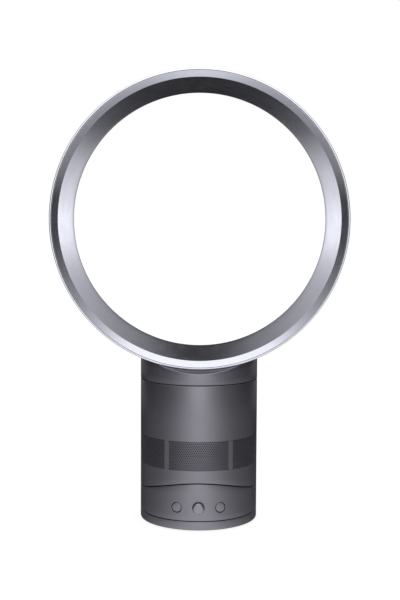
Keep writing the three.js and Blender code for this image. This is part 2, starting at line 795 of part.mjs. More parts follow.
function inletHoles(columns) {
  const pitch = inletHeight / holeRows;
  return columns.flatMap(({ angle, short }) => {
    const rows = short ? holeRows - 1 : holeRows;
    const first = inletZ + (short ? pitch : pitch / 2);
    return Array.from({ length: rows }, (_, row) =>
      spoke(angle, first + row * pitch, holeRadius, caseInner - 2, baseRadius + 2, holeSides),
    );
  });
}

const mountAngles = () => Array.from({ length: mountCount }, (_, i) => (360 * i) / mountCount);

function bodyCasing() {
  const { edges, columns } = inletFacets();
  const lockSeatZ = caseTopZ - 1 - lockRingHeight;
  const low = tiltPivotZ - tiltRadius;
  const shell = facetedTube(
    [
      [baseRadius, low],
      [baseRadius, caseTopZ - rimChamfer],
      [baseRadius - rimChamfer, caseTopZ],
      [caseInner, caseTopZ],
      [caseInner, lockSeatZ],
      [caseInner - lockLedge, lockSeatZ],
      [caseInner, lockSeatZ - lockLedge],
      [caseInner, low],
    ],
    edges,
  );
  const z1 = mountZ - mountHeight / 2 - fit;
  const inner = mountCircle - mountRadius;
  const bracket = box(-mountRadius, mountRadius, inner, caseInner + 1, z1 - bracketPly, z1);
  return shell
    .add(union(mountAngles().map((angle) => spin(bracket, angle))))
    .subtract(belowTilt(shoeRadius))
    .subtract(union(inletHoles(columns)));
}

const housingMount = (angle) =>
  spin(
    post(0, mountCircle, mountRadius, mountZ - mountHeight / 2, mountZ + mountHeight / 2),
    angle,
  );

// ---------------------------------------------------------------- air path in the base
// The curve of the shroud over the impeller, from its throat to its shoulder.
const shroudCurve = (extra = 0, steps = 3) =>
  Array.from({ length: steps + 1 }, (_, i) => {
    const t = i / steps;
    const ease = t * t * (3 - 2 * t);
    const r = inletThroat + (shroudRadius - inletThroat) * (0.35 * t + 0.65 * ease);
    return [r + extra, shroudBottomZ + (shroudShoulderZ - shroudBottomZ) * t];
  });

// The shroud, with a flared inlet below and lugs for its three rubber mounts.
function impellerHousing() {
  const flare = bellmouthRadius - inletThroat;
  const mouth = (extra) =>
    arc(bellmouthRadius, shroudBottomZ, flare - extra, bellmouthHeight - extra, 180, 270, 3);
  const shell = turned(
    [
      ...mouth(0).reverse(),
      ...shroudCurve().slice(1),
      [shroudRadius, shroudTopZ],
      [shroudRadius + shroudWall, shroudTopZ],
      ...shroudCurve(shroudWall).slice(1).reverse(),
      ...mouth(shroudWall),
    ],
    midSides,
  );
  const z0 = mountZ + mountHeight / 2 + fit;
  const [inner, outer] = [shroudAt(z0) + shroudWall / 2, mountCircle + mountRadius];
  const lug = box(-mountRadius, mountRadius, inner, outer, z0, z0 + mountLugPly);
  return union([shell, ...mountAngles().map((angle) => spin(lug, angle))]);
}

// A blade or vane lofted from hub to tip: each station gives both radii, a height and an angle.
function loftedBlade(stations, ply) {
  const corners = stations.map(({ hub, tip, z, angle }) =>
    [
      [hub, -1],
      [tip, -1],
      [tip, 1],
      [hub, 1],
    ].map(([r, side]) => {
      const a = degrees(angle) + (side * ply) / 2 / r;
      return [r * Math.cos(a), r * Math.sin(a), z];
    }),
  );
  const faces = [];
  const quad = (a, b, c, d) => faces.push(...a, ...b, ...c, ...a, ...c, ...d);
  for (let i = 0; i + 1 < corners.length; i++) {
    const [low, high] = [corners[i], corners[i + 1]];
    for (let k = 0; k < 4; k++) quad(low[k], low[(k + 1) % 4], high[(k + 1) % 4], high[k]);
  }
  const [first, last] = [corners[0], corners.at(-1)];
  quad(first[3], first[2], first[1], first[0]);
  quad(...last);
  const made = new THREE.BufferGeometry();
  made.setAttribute("position", new THREE.Float32BufferAttribute(faces, 3));
  return solid(made);
}

// Radius of the shroud at a height, for the tips of the blades.
function shroudAt(z) {
  const curve = shroudCurve();
  const next = Math.max(1, curve.findIndex(([, level]) => level >= z));
  const [[r0, z0], [r1, z1]] = [curve[next - 1], curve[next]];
  return r0 + ((r1 - r0) * (z - z0)) / (z1 - z0);
}

// Mixed-flow impeller: a bell-shaped hub with swept blades that follow the shroud.
function impeller() {
  const hubAt = (t) => hubNoseRadius + (hubRadius - hubNoseRadius) * Math.pow(t, 1.3);
  const level = (t) => hubBottomZ + (hubTopZ - hubBottomZ) * t;
  const steps = 3;
  const skin = Array.from({ length: steps + 1 }, (_, i) => [hubAt(i / steps), level(i / steps)]);
  const bore = motorShaftRadius + fit;
  const hub = turned(
    [
      [bore, hubBottomZ],
      ...skin,
      [hubRadius - hubPly, hubTopZ],
      [hubRadius - hubPly - 6, hubTopZ - 6],
      [hubNoseRadius, hubBottomZ + 12],
      [hubNoseRadius - 2, hubTopZ - 2],
      [bore, hubTopZ - 2],
    ],
    midSides,
  );
  const stations = Array.from({ length: steps + 1 }, (_, i) => {
    const t = 0.04 + (0.94 * i) / steps;
    return {
      hub: hubAt(t) - 1.2,
      tip: shroudAt(level(t)) - impellerClearance,
      z: level(t),
      angle: -bladeSweep * t * (1.4 - 0.4 * t),
    };
  });
  const blade = loftedBlade(stations, bladePly);
  const blades = Array.from({ length: bladeCount }, (_, i) => spin(blade, (360 * i) / bladeCount));
  return union([hub, ...blades]);
}

// Stationary vanes that straighten the air and hold the motor bucket in the housing.
function diffuser() {
  const play = fit;
  const [inner, outer] = [bucketRadius + play, bucketRadius + play + 1.6];
  const [z0, z1] = [bucketBottomZ + 4, bucketJointZ - 2];
  const ring = turned([[inner, z0], [outer, z0], [outer, z1], [inner, z1]], midSides);
  const stations = Array.from({ length: 4 }, (_, i) => {
    const t = i / 3;
    return {
      hub: outer - 0.8,
      tip: shroudRadius * Math.cos(Math.PI / midSides) - play,
      z: z0 + 0.5 + (z1 - z0 - 1) * t,
      angle: vaneSweep * (1 - t) * (1 - t),
    };
  });
  const vane = loftedBlade(stations, vanePly);
  const vanes = Array.from({ length: vaneCount }, (_, i) => spin(vane, (360 * i) / vaneCount));
  return union([ring, ...vanes]);
}

const motorBottomZ = bucketBottomZ + bucketWall + fit;
const motorTopZ = motorBottomZ + motorLength;

function motorBucketLower() {
  const inner = bucketRadius - bucketWall;
  return turned(
    [
      [bearingRadius, bucketBottomZ],
      [bucketRadius, bucketBottomZ],
      [bucketRadius, bucketJointZ],
      [inner, bucketJointZ],
      [inner, bucketBottomZ + bucketWall],
      [bearingRadius, bucketBottomZ + bucketWall],
    ],
    midSides,
  );
}

// A dome with a small hole at its top, for the motor's wires.
function motorBucketUpper() {
  const z0 = bucketJointZ + fit;
  const dome = (r, top) => arc(0, z0, r, top - z0, 0, domeSweep, 3);
  const outer = dome(bucketRadius, bucketTopZ);
  const inner = dome(bucketRadius - bucketWall, bucketTopZ - bucketWall);
  return turned([...outer, ...inner.reverse()], midSides);
}

function motorCan() {
  const [z0, z1] = [motorBottomZ, motorTopZ];
  const seat = bearingRadius + fit;
  const inner = motorRadius - motorWall;
  return turned(
    [
      [seat, z0],
      [motorRadius, z0],
      [motorRadius, z1],
      [seat, z1],
      [seat, z1 - motorWall],
      [inner, z1 - motorWall],
      [inner, z0 + motorWall],
      [seat, z0 + motorWall],
    ],
    capSides,
  );
}

function motorBearing(z0) {
  const inner = motorShaftRadius + fit;
  const z1 = z0 + bearingLength;
  return turned([[inner, z0], [bearingRadius, z0], [bearingRadius, z1], [inner, z1]], smallSides);
}

function motorRotor() {
  const inner = motorShaftRadius + fit;
  const [z0, z1] = [motorBottomZ + bearingLength + 1, motorTopZ - bearingLength - 1];
  return turned([[inner, z0], [rotorRadius, z0], [rotorRadius, z1], [inner, z1]], capSides);
}

const motorShaft = () => post(0, 0, motorShaftRadius, hubBottomZ - 4, motorTopZ + 1, 12);

// A nut on the end of the shaft clamps the hub from below.
function impellerNut() {
  const [z0, z1] = [hubBottomZ - 3.6, hubBottomZ - fit];
  const nut = post(0, 0, 4.4, z0, z1, 6);
  return nut.subtract(post(0, 0, motorShaftRadius + fit, z0 - 1, z1 + 1, 12));
}

// ---------------------------------------------------------------- twist lock
const lockLugAngles = () => Array.from({ length: lockLugCount }, (_, i) => (360 * i) / lockLugCount);

// A block that follows a ring: part of a turned ring, cut to an angle about +Y.
function ringBlock(r0, r1, z0, z1, angle) {
  const reach = r1 * 2;
  const edge = reach * Math.tan(degrees(angle / 2));
  const wedge = new THREE.Shape([
    new THREE.Vector2(0, 0),
    new THREE.Vector2(edge, reach),
    new THREE.Vector2(-edge, reach),
  ]);
  const ring = turned([[r0, z0], [r1, z0], [r1, z1], [r0, z1]]);
  return ring.intersect(plate(wedge, z0 - 1, z1 + 1));
}

const lockRingZ = caseTopZ - 1 - lockRingHeight + fit;
const lugLevel = lockRingZ + 2;

function bayonetRing() {
  const z1 = lockRingZ + lockRingHeight;
  const ring = turned([
    [lockRingInner, lockRingZ],
    [lockRingOuter, lockRingZ],
    [lockRingOuter, z1],
    [lockRingInner, z1],
  ]);
  const z0 = lugLevel + lockLugHeight + running;
  const lugInner = lockRingInner - lockLugDepth;
  const lug = ringBlock(lugInner, lockRingInner + 1, z0, z0 + lockLugHeight, lockLugAngle);
  return union([ring, ...lockLugAngles().map((a) => spin(lug, a))]);
}

const spigotBottomZ = neckZ - neckSpigotDepth;

function neckSpigot() {
  const inner = neckSpigotRadius - spigotWall;
  const flange = baseRadius - neckWall - 0.5;
  const sleeve = turned([
    [inner, spigotBottomZ],
    [neckSpigotRadius, spigotBottomZ],
    [neckSpigotRadius, neckZ],
    [flange + 1, neckZ],
    [flange + 1, neckZ + neckWall],
    [inner, neckZ + neckWall],
  ]);
  const reach = lockRingInner - lockPlay;
  const lug = ringBlock(
    neckSpigotRadius - 1,
    reach,
    lugLevel,
    lugLevel + lockLugHeight,
    lockLugAngle,
  );
  return union([sleeve, ...lockLugAngles().map((a) => spin(lug, a))]);
}

function neckSeal() {
  const [inner, outer] = [neckSpigotRadius + fit, lockRingInner - lockPlay];
  const z1 = neckZ - fit;
  const z0 = z1 - sealHeight;
  return turned([[inner, z0], [outer, z0], [outer, z1], [inner, z1]], roundSides);
}

// ---------------------------------------------------------------- loop profile
// Outside of the loop, from its front edge to its rolled back edge and round into the lip.
const loopBackRadius = loopRadius - loopTaper;
const rollCentre = (loopBackRadius + throatRadius) / 2;
const rollHalf = (loopBackRadius - throatRadius) / 2;
const rollY = loopBackY - rollLength;
const lipEndY = rollY - lipReach;
const slotRadius = throatRadius + loopWall + slotGap;

function outerSkin(inset, steps) {
  const roll = arc(rollCentre, rollY, rollHalf - inset, rollLength - inset, 0, 180, steps);
  return [[loopRadius - inset, loopFrontY], ...roll];
}

function loopOuterCasing() {
  const lipTop = throatRadius + loopWall;
  const outside = [...outerSkin(0, 6), [throatRadius, lipEndY]];
  const inside = outerSkin(loopWall, 4);
  const shell = turnedRoundLoop([...outside, [lipTop, lipEndY], ...inside.reverse()]);
  const spacer = box(
    -spacerWidth / 2,
    spacerWidth / 2,
    lipEndY + 0.5,
    lipEndY + 0.5 + spacerLength,
    lipTop * Math.cos(Math.PI / loopSides) - 0.5,
    slotRadius * Math.cos(Math.PI / loopSides) - fit,
  );
  const spacers = Array.from({ length: spacerCount }, (_, i) =>
    spacer.rotate([0, 360 * (i / spacerCount + 0.5 / loopSides), 0]).translate([0, 0, loopAxisZ]),
  );
  return union([shell, ...spacers]).subtract(airway());
}

// The face the air clings to, the flaring wall in front of it, and the bevel at the front.
function loopInnerCasing() {
  const bevelRadius = loopRadius - loopWall - fit;
  const bevelY = loopFrontY + bevelDepth;
  const tailY = lipEndY + slotOverlap;
  const slotLine = (inset) => [
    [slotRadius + coandaRise + inset, tailY + slotTail],
    [slotRadius + inset, tailY],
    [slotRadius + coandaRise + inset, flareStart],
  ];
  const face = [...slotLine(0), [guideRadius, bevelY], [bevelRadius, loopFrontY + fit]];
  const back = [
    [bevelRadius, bevelY + 2],
    [bevelRadius - loopWall, bevelY + 2],
    [guideRadius + loopWall, bevelY + loopWall / 2],
  ];
  return turnedRoundLoop([...face, ...back, ...slotLine(loopWall).reverse()]);
}

// The opening between the neck and the loop, through which the air rises.
const airway = () =>
  box(-airwayHalfX, airwayHalfX, -airwayHalfY, airwayHalfY, neckZ, loopAxisZ - rollCentre);

// ---------------------------------------------------------------- neck
// What the loop takes out of the neck: its outer skin, flared towards the front and the back.
function loopEnvelope(gap) {
  const reach = baseRadius + 10;
  const flare = loopRadius + neckTopDrop + gap;
  const rim = outerSkin(-gap, 6).slice(0, 3);
  return turnedRoundLoop([[1, -reach], [flare, -reach], ...rim, [flare, reach], [1, reach]]);
}

function neckCollar() {
  const top = loopAxisZ - rollCentre;
  const inner = baseRadius - neckWall;
  const outside = turned([
    [0, neckZ],
    [baseRadius - rimChamfer, neckZ],
    [baseRadius, neckZ + rimChamfer],
    [baseRadius, top],
    [0, top],
  ]);
  const hollow = post(0, 0, inner, neckZ - 1, top - neckWall, roundSides);
  const cavity = hollow.subtract(loopEnvelope(fit + neckWall));
  return outside
    .subtract(loopEnvelope(fit))
    .subtract(cavity)
    .add(neckSpigot())
    .subtract(airway());
}

// ---------------------------------------------------------------- assembly
const fan = new THREE.Group();

function add(name, made, look) {
  const mesh = new THREE.Mesh(geometryOf(made), new THREE.MeshStandardMaterial(look));
  mesh.name = name;
  fan.add(mesh);
}

// foot, which stands still
add("foot_shell", footShell(), gunmetal);
padPlaces().forEach((place, i) => add(`rubber_foot_${i + 1}`, rubberFoot(place), rubber));
add("glide_ring", glideRing(), acetal);
add("swivel_gear", swivelGear(), acetal);
add("swivel_circlip", swivelCirclip(), steel);
add("cable_gland", cableGland(), rubber);

// lower housing, which swings
add("lower_housing", lowerHousing(), gunmetal);
add("tilt_cradle", tiltCradle(), gunmetal);
cradlePosts().forEach(([x, y], i) => {
  add(`cradle_screw_${i + 1}`, screw(x, y, cradleScrewSeat(y), screwLength), steel);
});
add("control_board", controlBoard(), boardGreen);
add("speed_potentiometer", speedPotentiometer(), blackPlastic);
add("power_switch", tactSwitch(-1), blackPlastic);
add("oscillation_switch", tactSwitch(1), blackPlastic);
add("main_board", mainBoard(), boardGreen);
add("oscillation_motor", oscillationMotor(), steel);
motorScrewPlaces().forEach(([x, y], i) => {
  const seatZ = motorFootZ + motorEarThickness + fit;
  add(`drive_screw_${i + 1}`, screwDown(x, y, seatZ, driveScrewLength), steel);
});
add("oscillation_shaft", oscillationShaft(), steel);
add("oscillation_pinion", oscillationPinion(), acetal);
add("power_button", button(controls[0]), gunmetal);
add("speed_dial", speedDial(), gunmetal);
add("oscillation_button", button(controls[2]), gunmetal);

// main body, which tilts
add("body_casing", bodyCasing(), gunmetal);
add("tilt_shoe", tiltShoe(), gunmetal);
for (const [side, word] of [[-1, "left"], [1, "right"]]) {
  add(`tilt_guide_${word}`, tiltGuide(side), acetal);
  add(`guide_screw_${word}`, screw(side * guideX, 0, guideScrewSeat, guideScrewLength), steel);
}
add("impeller_housing", impellerHousing(), blackPlastic);
mountAngles().forEach((angle, i) => add(`housing_mount_${i + 1}`, housingMount(angle), rubber));
add("diffuser", diffuser(), blackPlastic);
add("motor_bucket_lower", motorBucketLower(), blackPlastic);
add("motor_bucket_upper", motorBucketUpper(), blackPlastic);
add("motor_can", motorCan(), steel);
add("motor_bearing_lower", motorBearing(motorBottomZ), steel);
add("motor_bearing_upper", motorBearing(motorTopZ - bearingLength), steel);
add("bayonet_ring", bayonetRing(), blackPlastic);

// what spins
add("impeller", impeller(), blackPlastic);
add("impeller_nut", impellerNut(), steel);
add("motor_shaft", motorShaft(), steel);
add("motor_rotor", motorRotor(), steel);

// loop, which lifts off after a twist
add("neck_collar", neckCollar(), gunmetal);
add("neck_seal", neckSeal(), rubber);
add("loop_outer_casing", loopOuterCasing(), satinSilver);
add("loop_inner_casing", loopInnerCasing(), satinSilver);

export default fan;
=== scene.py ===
import json
import math

import bmesh
import bpy
from mathutils import Euler, Matrix, Vector


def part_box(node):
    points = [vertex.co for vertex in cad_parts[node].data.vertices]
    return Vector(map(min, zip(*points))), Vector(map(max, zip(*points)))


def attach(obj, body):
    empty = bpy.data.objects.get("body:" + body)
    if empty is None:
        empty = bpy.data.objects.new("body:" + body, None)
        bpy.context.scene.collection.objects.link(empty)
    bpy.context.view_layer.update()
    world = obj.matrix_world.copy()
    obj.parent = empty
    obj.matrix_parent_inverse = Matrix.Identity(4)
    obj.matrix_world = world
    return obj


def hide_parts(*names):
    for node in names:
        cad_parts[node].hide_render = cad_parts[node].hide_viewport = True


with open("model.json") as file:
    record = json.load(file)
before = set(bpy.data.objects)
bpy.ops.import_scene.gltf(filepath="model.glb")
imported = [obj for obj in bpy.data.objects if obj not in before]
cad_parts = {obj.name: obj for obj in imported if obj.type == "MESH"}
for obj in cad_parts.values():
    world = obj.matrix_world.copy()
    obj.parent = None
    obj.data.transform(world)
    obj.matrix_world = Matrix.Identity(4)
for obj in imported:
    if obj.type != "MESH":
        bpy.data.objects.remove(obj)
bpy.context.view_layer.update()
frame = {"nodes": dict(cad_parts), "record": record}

MM = 0.001

# ---------------------------------------------------------------- sizes
# These are as in the CAD, or within half a millimetre of it where nothing shows.
BASE_RADIUS = 72
BASE_WALL = 2.6
CASE_INNER = BASE_RADIUS - BASE_WALL
SEAM = 0.9
FIT = 0.3
RUNNING = 0.4
SWIVEL_SEAM_Z = 12.3
NECK_SEAM_Z = 174.5
TILT_PIVOT_Z = 211.8
TILT_RADIUS = 170
FOOT_TOP_Z = SWIVEL_SEAM_Z - SEAM / 2
HOUSING_Z = SWIVEL_SEAM_Z + SEAM / 2
HOUSING_FLOOR_Z = HOUSING_Z + 2.5
HOUSING_BORE = 7.4
CRADLE_RADIUS = TILT_RADIUS + SEAM / 2
SHOE_RADIUS = TILT_RADIUS - SEAM / 2
CASE_TOP_Z = NECK_SEAM_Z - SEAM / 2
NECK_Z = NECK_SEAM_Z + SEAM / 2

PAD_COUNT = 5
PAD_RADIUS = 5
PAD_CIRCLE = 60
PAD_HEIGHT = 2.4
FOOT_Z = 1.2  # the pads stand out under it
FOOT_FLOOR_Z = 3.4
LEDGE_INNER, LEDGE_OUTER = 50, 57
LEDGE_Z = 8.6
POST_RADIUS = 11
POST_Z = 10.4
FOOT_SPIGOT_RADIUS = 7
FOOT_SPIGOT_BORE = 4.5
FOOT_SPIGOT_Z = HOUSING_FLOOR_Z + 4.6
CLIP_GROOVE_Z = HOUSING_FLOOR_Z + RUNNING
CLIP_GROOVE_HEIGHT = 1.5
CLIP_GROOVE_RADIUS = 5.8
GLAND_RADIUS = 3.6
GLAND_BORE = 2.8
GLAND_LENGTH = 5.5

CONTROL_Z = 28.4
BUTTON_ANGLE = 21.5
BUTTON_RADIUS = 5.6
BUTTON_CHAMFER = 0.6
BUTTON_STEM_END = 54
DIAL_RADIUS = 6.5
DIAL_STAND_OUT = 4.6
DIAL_STEM_END = 50
STEM_RADIUS = 2
CAP_GAP = 0.7
CAP_FLANGE = 1.8
CAP_FLANGE_THICKNESS = 1.5
SLEEVE_WALL = 2
SLEEVE_END = CASE_INNER - 8

INLET_Z = 72.6
INLET_HEIGHT = 35.2
STRUT_ANGLE = 4.1
FRONT_PANEL_ANGLE = 59.8
PANELS = 6

NECK_SPIGOT_RADIUS = 61.7
NECK_SPIGOT_INNER = 59.5
NECK_SPIGOT_DEPTH = 12
AIRWAY_HALF_X, AIRWAY_HALF_Y = 46, 27

LOOP_AXIS_Z = 369
LOOP_RADIUS = 178
LOOP_FRONT_Y = -54
LOOP_BACK_Y = 50
LOOP_WALL = 2.2
LOOP_TAPER = 1.5
THROAT_RADIUS = 156.5
GUIDE_RADIUS = 168.2
BEVEL_DEPTH = 7
ROLL_LENGTH = 22
LIP_REACH = 4
SLOT_GAP = 1.3
SLOT_OVERLAP = 4
SLOT_TAIL = 3
COANDA_RISE = 1.2
SPACERS = 11

# The finer forms that only this script has.
FINE = 240  # facets round the loop and the base
CAP_FACETS, SMALL_FACETS = 72, 48
RIM_EDGE = 0.9  # rounding of the upper outer edges, which catch the light under each seam
FOOT_EDGE = 0.5  # rounding of the lower outer edges, above each seam
BOTTOM_EDGE = 2.6  # rounding of the foot towards the floor
IN_AT_30, IN_AT_45 = 0.13, 0.3  # how far in a quarter circle of radius 1 is at those angles
HOLE_EDGE = 0.45  # rounding of the openings for the controls
DIAL_GAP = 0.5
DIAL_CHAMFER = 1.3
DIAL_CROWN = 0.3
BUTTON_CROWN = 0.25
HOLE_ROWS = 17
HOLE_PITCH = 2.45
HOLE_RADIUS = 0.98
LIP_RADIUS = 158  # the rolled lip stands back a little, so that the throat hides the slot
LIP_EDGE = 1
THROAT_Y = 16
THROAT_CURVE = 7  # length over which the throat turns into the straight flare
SADDLE_HOLD = 36  # degrees round the rolled edge that the neck's saddle follows
NECK_TOP_DROP = 3.6

BACK_RADIUS = LOOP_RADIUS - LOOP_TAPER
ROLL_CENTRE = (BACK_RADIUS + LIP_RADIUS) / 2
ROLL_HALF = (BACK_RADIUS - LIP_RADIUS) / 2
ROLL_Y = LOOP_BACK_Y - ROLL_LENGTH
LIP_END_Y = ROLL_Y - LIP_REACH
SLOT_RADIUS = LIP_RADIUS + LIP_EDGE + SLOT_GAP


def tilt_level(radius, y):
    """Height of the tilt surface of that radius, at a distance y from the middle."""
    return TILT_PIVOT_Z - math.sqrt(radius**2 - y**2)


# ---------------------------------------------------------------- materials
def socket(node, name, value):
    node.inputs[name].default_value = value


class Look:
    """A node material round one Principled shader. Texture scales are per metre of the object."""

    def __init__(self, name, colour, metallic, roughness, **extra):
        self.material = bpy.data.materials.new(name)
        self.material.use_nodes = True
        self.tree = self.material.node_tree
        self.shader = self.tree.nodes["Principled BSDF"]
        socket(self.shader, "Base Color", (*colour, 1))
        socket(self.shader, "Metallic", metallic)
        socket(self.shader, "Roughness", roughness)
        for key, value in extra.items():
            socket(self.shader, key.replace("_", " "), value)
        self.place = self.tree.nodes.new("ShaderNodeTexCoord").outputs["Object"]
        self.height = None

    def node(self, kind, **settings):
        made = self.tree.nodes.new(kind)
        for key, value in settings.items():
            setattr(made, key, value)
        return made

    def noise(self, scale, detail=2.0, stretch=None):
        made = self.node("ShaderNodeTexNoise")
        socket(made, "Scale", scale)
        socket(made, "Detail", detail)
        place = self.place
        if stretch:
            mapping = self.node("ShaderNodeMapping")
            socket(mapping, "Scale", stretch)
            self.tree.links.new(place, mapping.inputs["Vector"])
            place = mapping.outputs["Vector"]
        self.tree.links.new(place, made.inputs["Vector"])
        return made.outputs["Fac"]

    def cell_edges(self, scale):
        made = self.node("ShaderNodeTexVoronoi", feature="DISTANCE_TO_EDGE")
        socket(made, "Scale", scale)
        self.tree.links.new(self.place, made.inputs["Vector"])
        return made.outputs["Distance"]

    def ramp(self, fac, stops):
        """Colours along a value: stops are (place, colour)."""
        made = self.node("ShaderNodeValToRGB")
        band = made.color_ramp
        while len(band.elements) < len(stops):
            band.elements.new(0.5)
        for element, (at, colour) in zip(band.elements, stops):
            element.position = at
            element.color = (*colour, 1)
        self.tree.links.new(fac, made.inputs["Fac"])
        return made.outputs["Color"]

    def span(self, fac, low, high):
        """A number between low and high that follows a texture over its usual range."""
        made = self.node("ShaderNodeMapRange")
        socket(made, "From Min", 0.3)
        socket(made, "From Max", 0.7)
        socket(made, "To Min", low)
        socket(made, "To Max", high)
        self.tree.links.new(fac, made.inputs["Value"])
        return made.outputs["Result"]

    def drive(self, name, output):
        self.tree.links.new(output, self.shader.inputs[name])

    def bump(self, fac, strength, depth):
        """Adds relief of that depth in metres, on top of the relief so far."""
        made = self.node("ShaderNodeBump")
        socket(made, "Strength", strength)
        socket(made, "Distance", depth)
        self.tree.links.new(fac, made.inputs["Height"])
        if self.height:
            self.tree.links.new(self.height, made.inputs["Normal"])
        self.height = made.outputs["Normal"]
        self.drive("Normal", self.height)


def shade(colour, factor):
    return tuple(min(channel * factor, 1) for channel in colour)


def metallic_paint(name, colour, roughness, edge):
    """Sprayed metallic lacquer: fine flake, slight orange peel and a thin clear coat.

    The edge colour is what the paint tends to at grazing angles.
    """
    look = Look(name, colour, 1, roughness, Coat_Weight=0.15, Coat_Roughness=0.2)
    socket(look.shader, "Specular Tint", (*edge, 1))
    flake = look.noise(2600, 3)
    tone = look.ramp(flake, [(0.3, shade(colour, 0.88)), (0.52, colour), (0.74, shade(colour, 1.14))])
    cloud = look.noise(9, 2)
    mix = look.node("ShaderNodeMix", data_type="RGBA", blend_type="MULTIPLY")
    socket(mix, "Factor", 1)
    look.tree.links.new(tone, mix.inputs["A"])
    clouded = look.ramp(cloud, [(0.3, (0.97, 0.97, 0.975)), (0.7, (1, 1, 1))])
    look.tree.links.new(clouded, mix.inputs["B"])
    look.drive("Base Color", mix.outputs["Result"])
    look.drive("Roughness", look.span(look.noise(60, 3), roughness - 0.025, roughness + 0.03))
    look.bump(flake, strength=0.05, depth=0.00002)
    look.bump(look.noise(420, 2), strength=0.05, depth=0.00006)
    return look.material


def moulded(name, colour, roughness, grain=1400, strength=0.25):
    """Moulded plastic or rubber: slight cloudiness and a fine spark-eroded grain."""
    look = Look(name, colour, 0, roughness)
    cloud = look.noise(35, 3)
    stops = [(0.3, shade(colour, 0.85)), (0.7, shade(colour, 1.12))]
    look.drive("Base Color", look.ramp(cloud, stops))
    look.drive("Roughness", look.span(look.noise(180, 3), roughness - 0.06, roughness + 0.06))
    look.bump(look.noise(grain, 3), strength, depth=0.00004)
    return look.material


def plated_steel():
    """Turned steel with a bright plating."""
    colour = (0.6, 0.6, 0.61)
    look = Look("plated_steel", colour, 1, 0.3)
    stops = [(0.35, shade(colour, 0.86)), (0.65, shade(colour, 1.1))]
    look.drive("Base Color", look.ramp(look.noise(70, 4), stops))
    turned = look.noise(300, 3, stretch=(1, 1, 9))
    look.drive("Roughness", look.span(turned, 0.22, 0.4))
    look.bump(turned, strength=0.08, depth=0.00003)
    return look.material


def circuit_board():
    """Green solder mask with lighter copper runs under it."""
    colour = (0.03, 0.16, 0.075)
    look = Look("circuit_board", colour, 0, 0.35, Coat_Weight=0.4, Coat_Roughness=0.12)
    runs = look.cell_edges(260)
    stops = [(0.03, shade(colour, 1.7)), (0.06, colour)]
    look.drive("Base Color", look.ramp(runs, stops))
    look.drive("Roughness", look.span(look.noise(90, 2), 0.3, 0.42))
    look.bump(runs, strength=0.12, depth=0.00003)
    return look.material


LOOKS = {
    "body_paint": metallic_paint("body_paint", (0.28, 0.275, 0.315), 0.42, (0.3, 0.3, 0.32)),
    "loop_paint": metallic_paint("loop_paint", (0.7, 0.71, 0.79), 0.23, (0.95, 0.95, 1)),
    "control_cap": metallic_paint("control_cap", (0.33, 0.325, 0.365), 0.46, (0.5, 0.5, 0.53)),
    "rubber": moulded("rubber", (0.022, 0.022, 0.024), 0.75, grain=900),
    "acetal": moulded("acetal", (0.66, 0.66, 0.62), 0.42, grain=600, strength=0.1),
    "black_plastic": moulded("black_plastic", (0.03, 0.03, 0.033), 0.5),
    "steel": plated_steel(),
    "circuit_board": circuit_board(),
}

# The CAD's own nodes get the same looks, which show where no piece replaces them.
for row in frame["record"]["subparts"]:
    materials = frame["nodes"][row["node"]].data.materials
    materials.clear()
    materials.append(LOOKS[row["material_slot"]])


# ---------------------------------------------------------------- meshes
def upright(radius, height, angle):
    """A point round the upright axis, at an angle from the front."""
    return (radius * math.sin(angle), -radius * math.cos(angle), height)


def about_loop(radius, y, angle):
    """A point round the loop's own axis, which points from front to back."""
    return (radius * math.sin(angle), y, LOOP_AXIS_Z + radius * math.cos(angle))


def along_spoke(degrees_from_front, z):
    """Points round an axis that leaves the base at that angle: sideways, up and outward."""
    a = math.radians(degrees_from_front)
    out, side = Vector((math.sin(a), -math.cos(a), 0)), Vector((math.cos(a), math.sin(a), 0))
    return lambda s, t, depth: tuple(out * depth + side * s + Vector((0, 0, z + t)))


def about_spoke(degrees_from_front, z):
    """Points round such an axis for lathe, with the distance outward as their height."""
    place = along_spoke(degrees_from_front, z)
    return lambda r, depth, angle: place(r * math.cos(angle), r * math.sin(angle), depth)


def rounded(corners, steps=4):
    """A closed outline from (u, v, radius) corners. A rounding takes less than half of a side."""
    points = []
    for i, (u, v, radius) in enumerate(corners):
        here = Vector((u, v))
        if not radius:
            points.append((u, v))
            continue
        before = Vector(corners[i - 1][:2]) - here
        after = Vector(corners[(i + 1) % len(corners)][:2]) - here
        cut = radius / math.tan(before.angle(after) / 2)
        cut = min(cut, before.length * 0.48, after.length * 0.48)
        start, end = here + before.normalized() * cut, here + after.normalized() * cut
        for k in range(steps + 1):
            t = k / steps
            point = start * (1 - t) ** 2 + here * (2 * t * (1 - t)) + end * t**2
            points.append((point.x, point.y))
    return points


def lathe(outline, place, segments):
    """Turns a closed outline of (radius, height) points. Points on the axis are merged later."""
    rows = len(outline)
    points = [
        place(r, h, math.tau * i / segments) for i in range(segments) for r, h in outline
    ]
    faces = []
    for i in range(segments):
        here, there = i * rows, (i + 1) % segments * rows
        for j in range(rows):
            k = (j + 1) % rows
            faces.append((here + j, here + k, there + k, there + j))
    return points, faces


def block(x0, x1, y0, y1, z0, z1):
    points = [(x, y, z) for x in (x0, x1) for y in (y0, y1) for z in (z0, z1)]
    sides = [(0, 1, 3, 2), (4, 6, 7, 5), (0, 4, 5, 1), (2, 3, 7, 6), (0, 2, 6, 4), (1, 5, 7, 3)]
    return points, sides


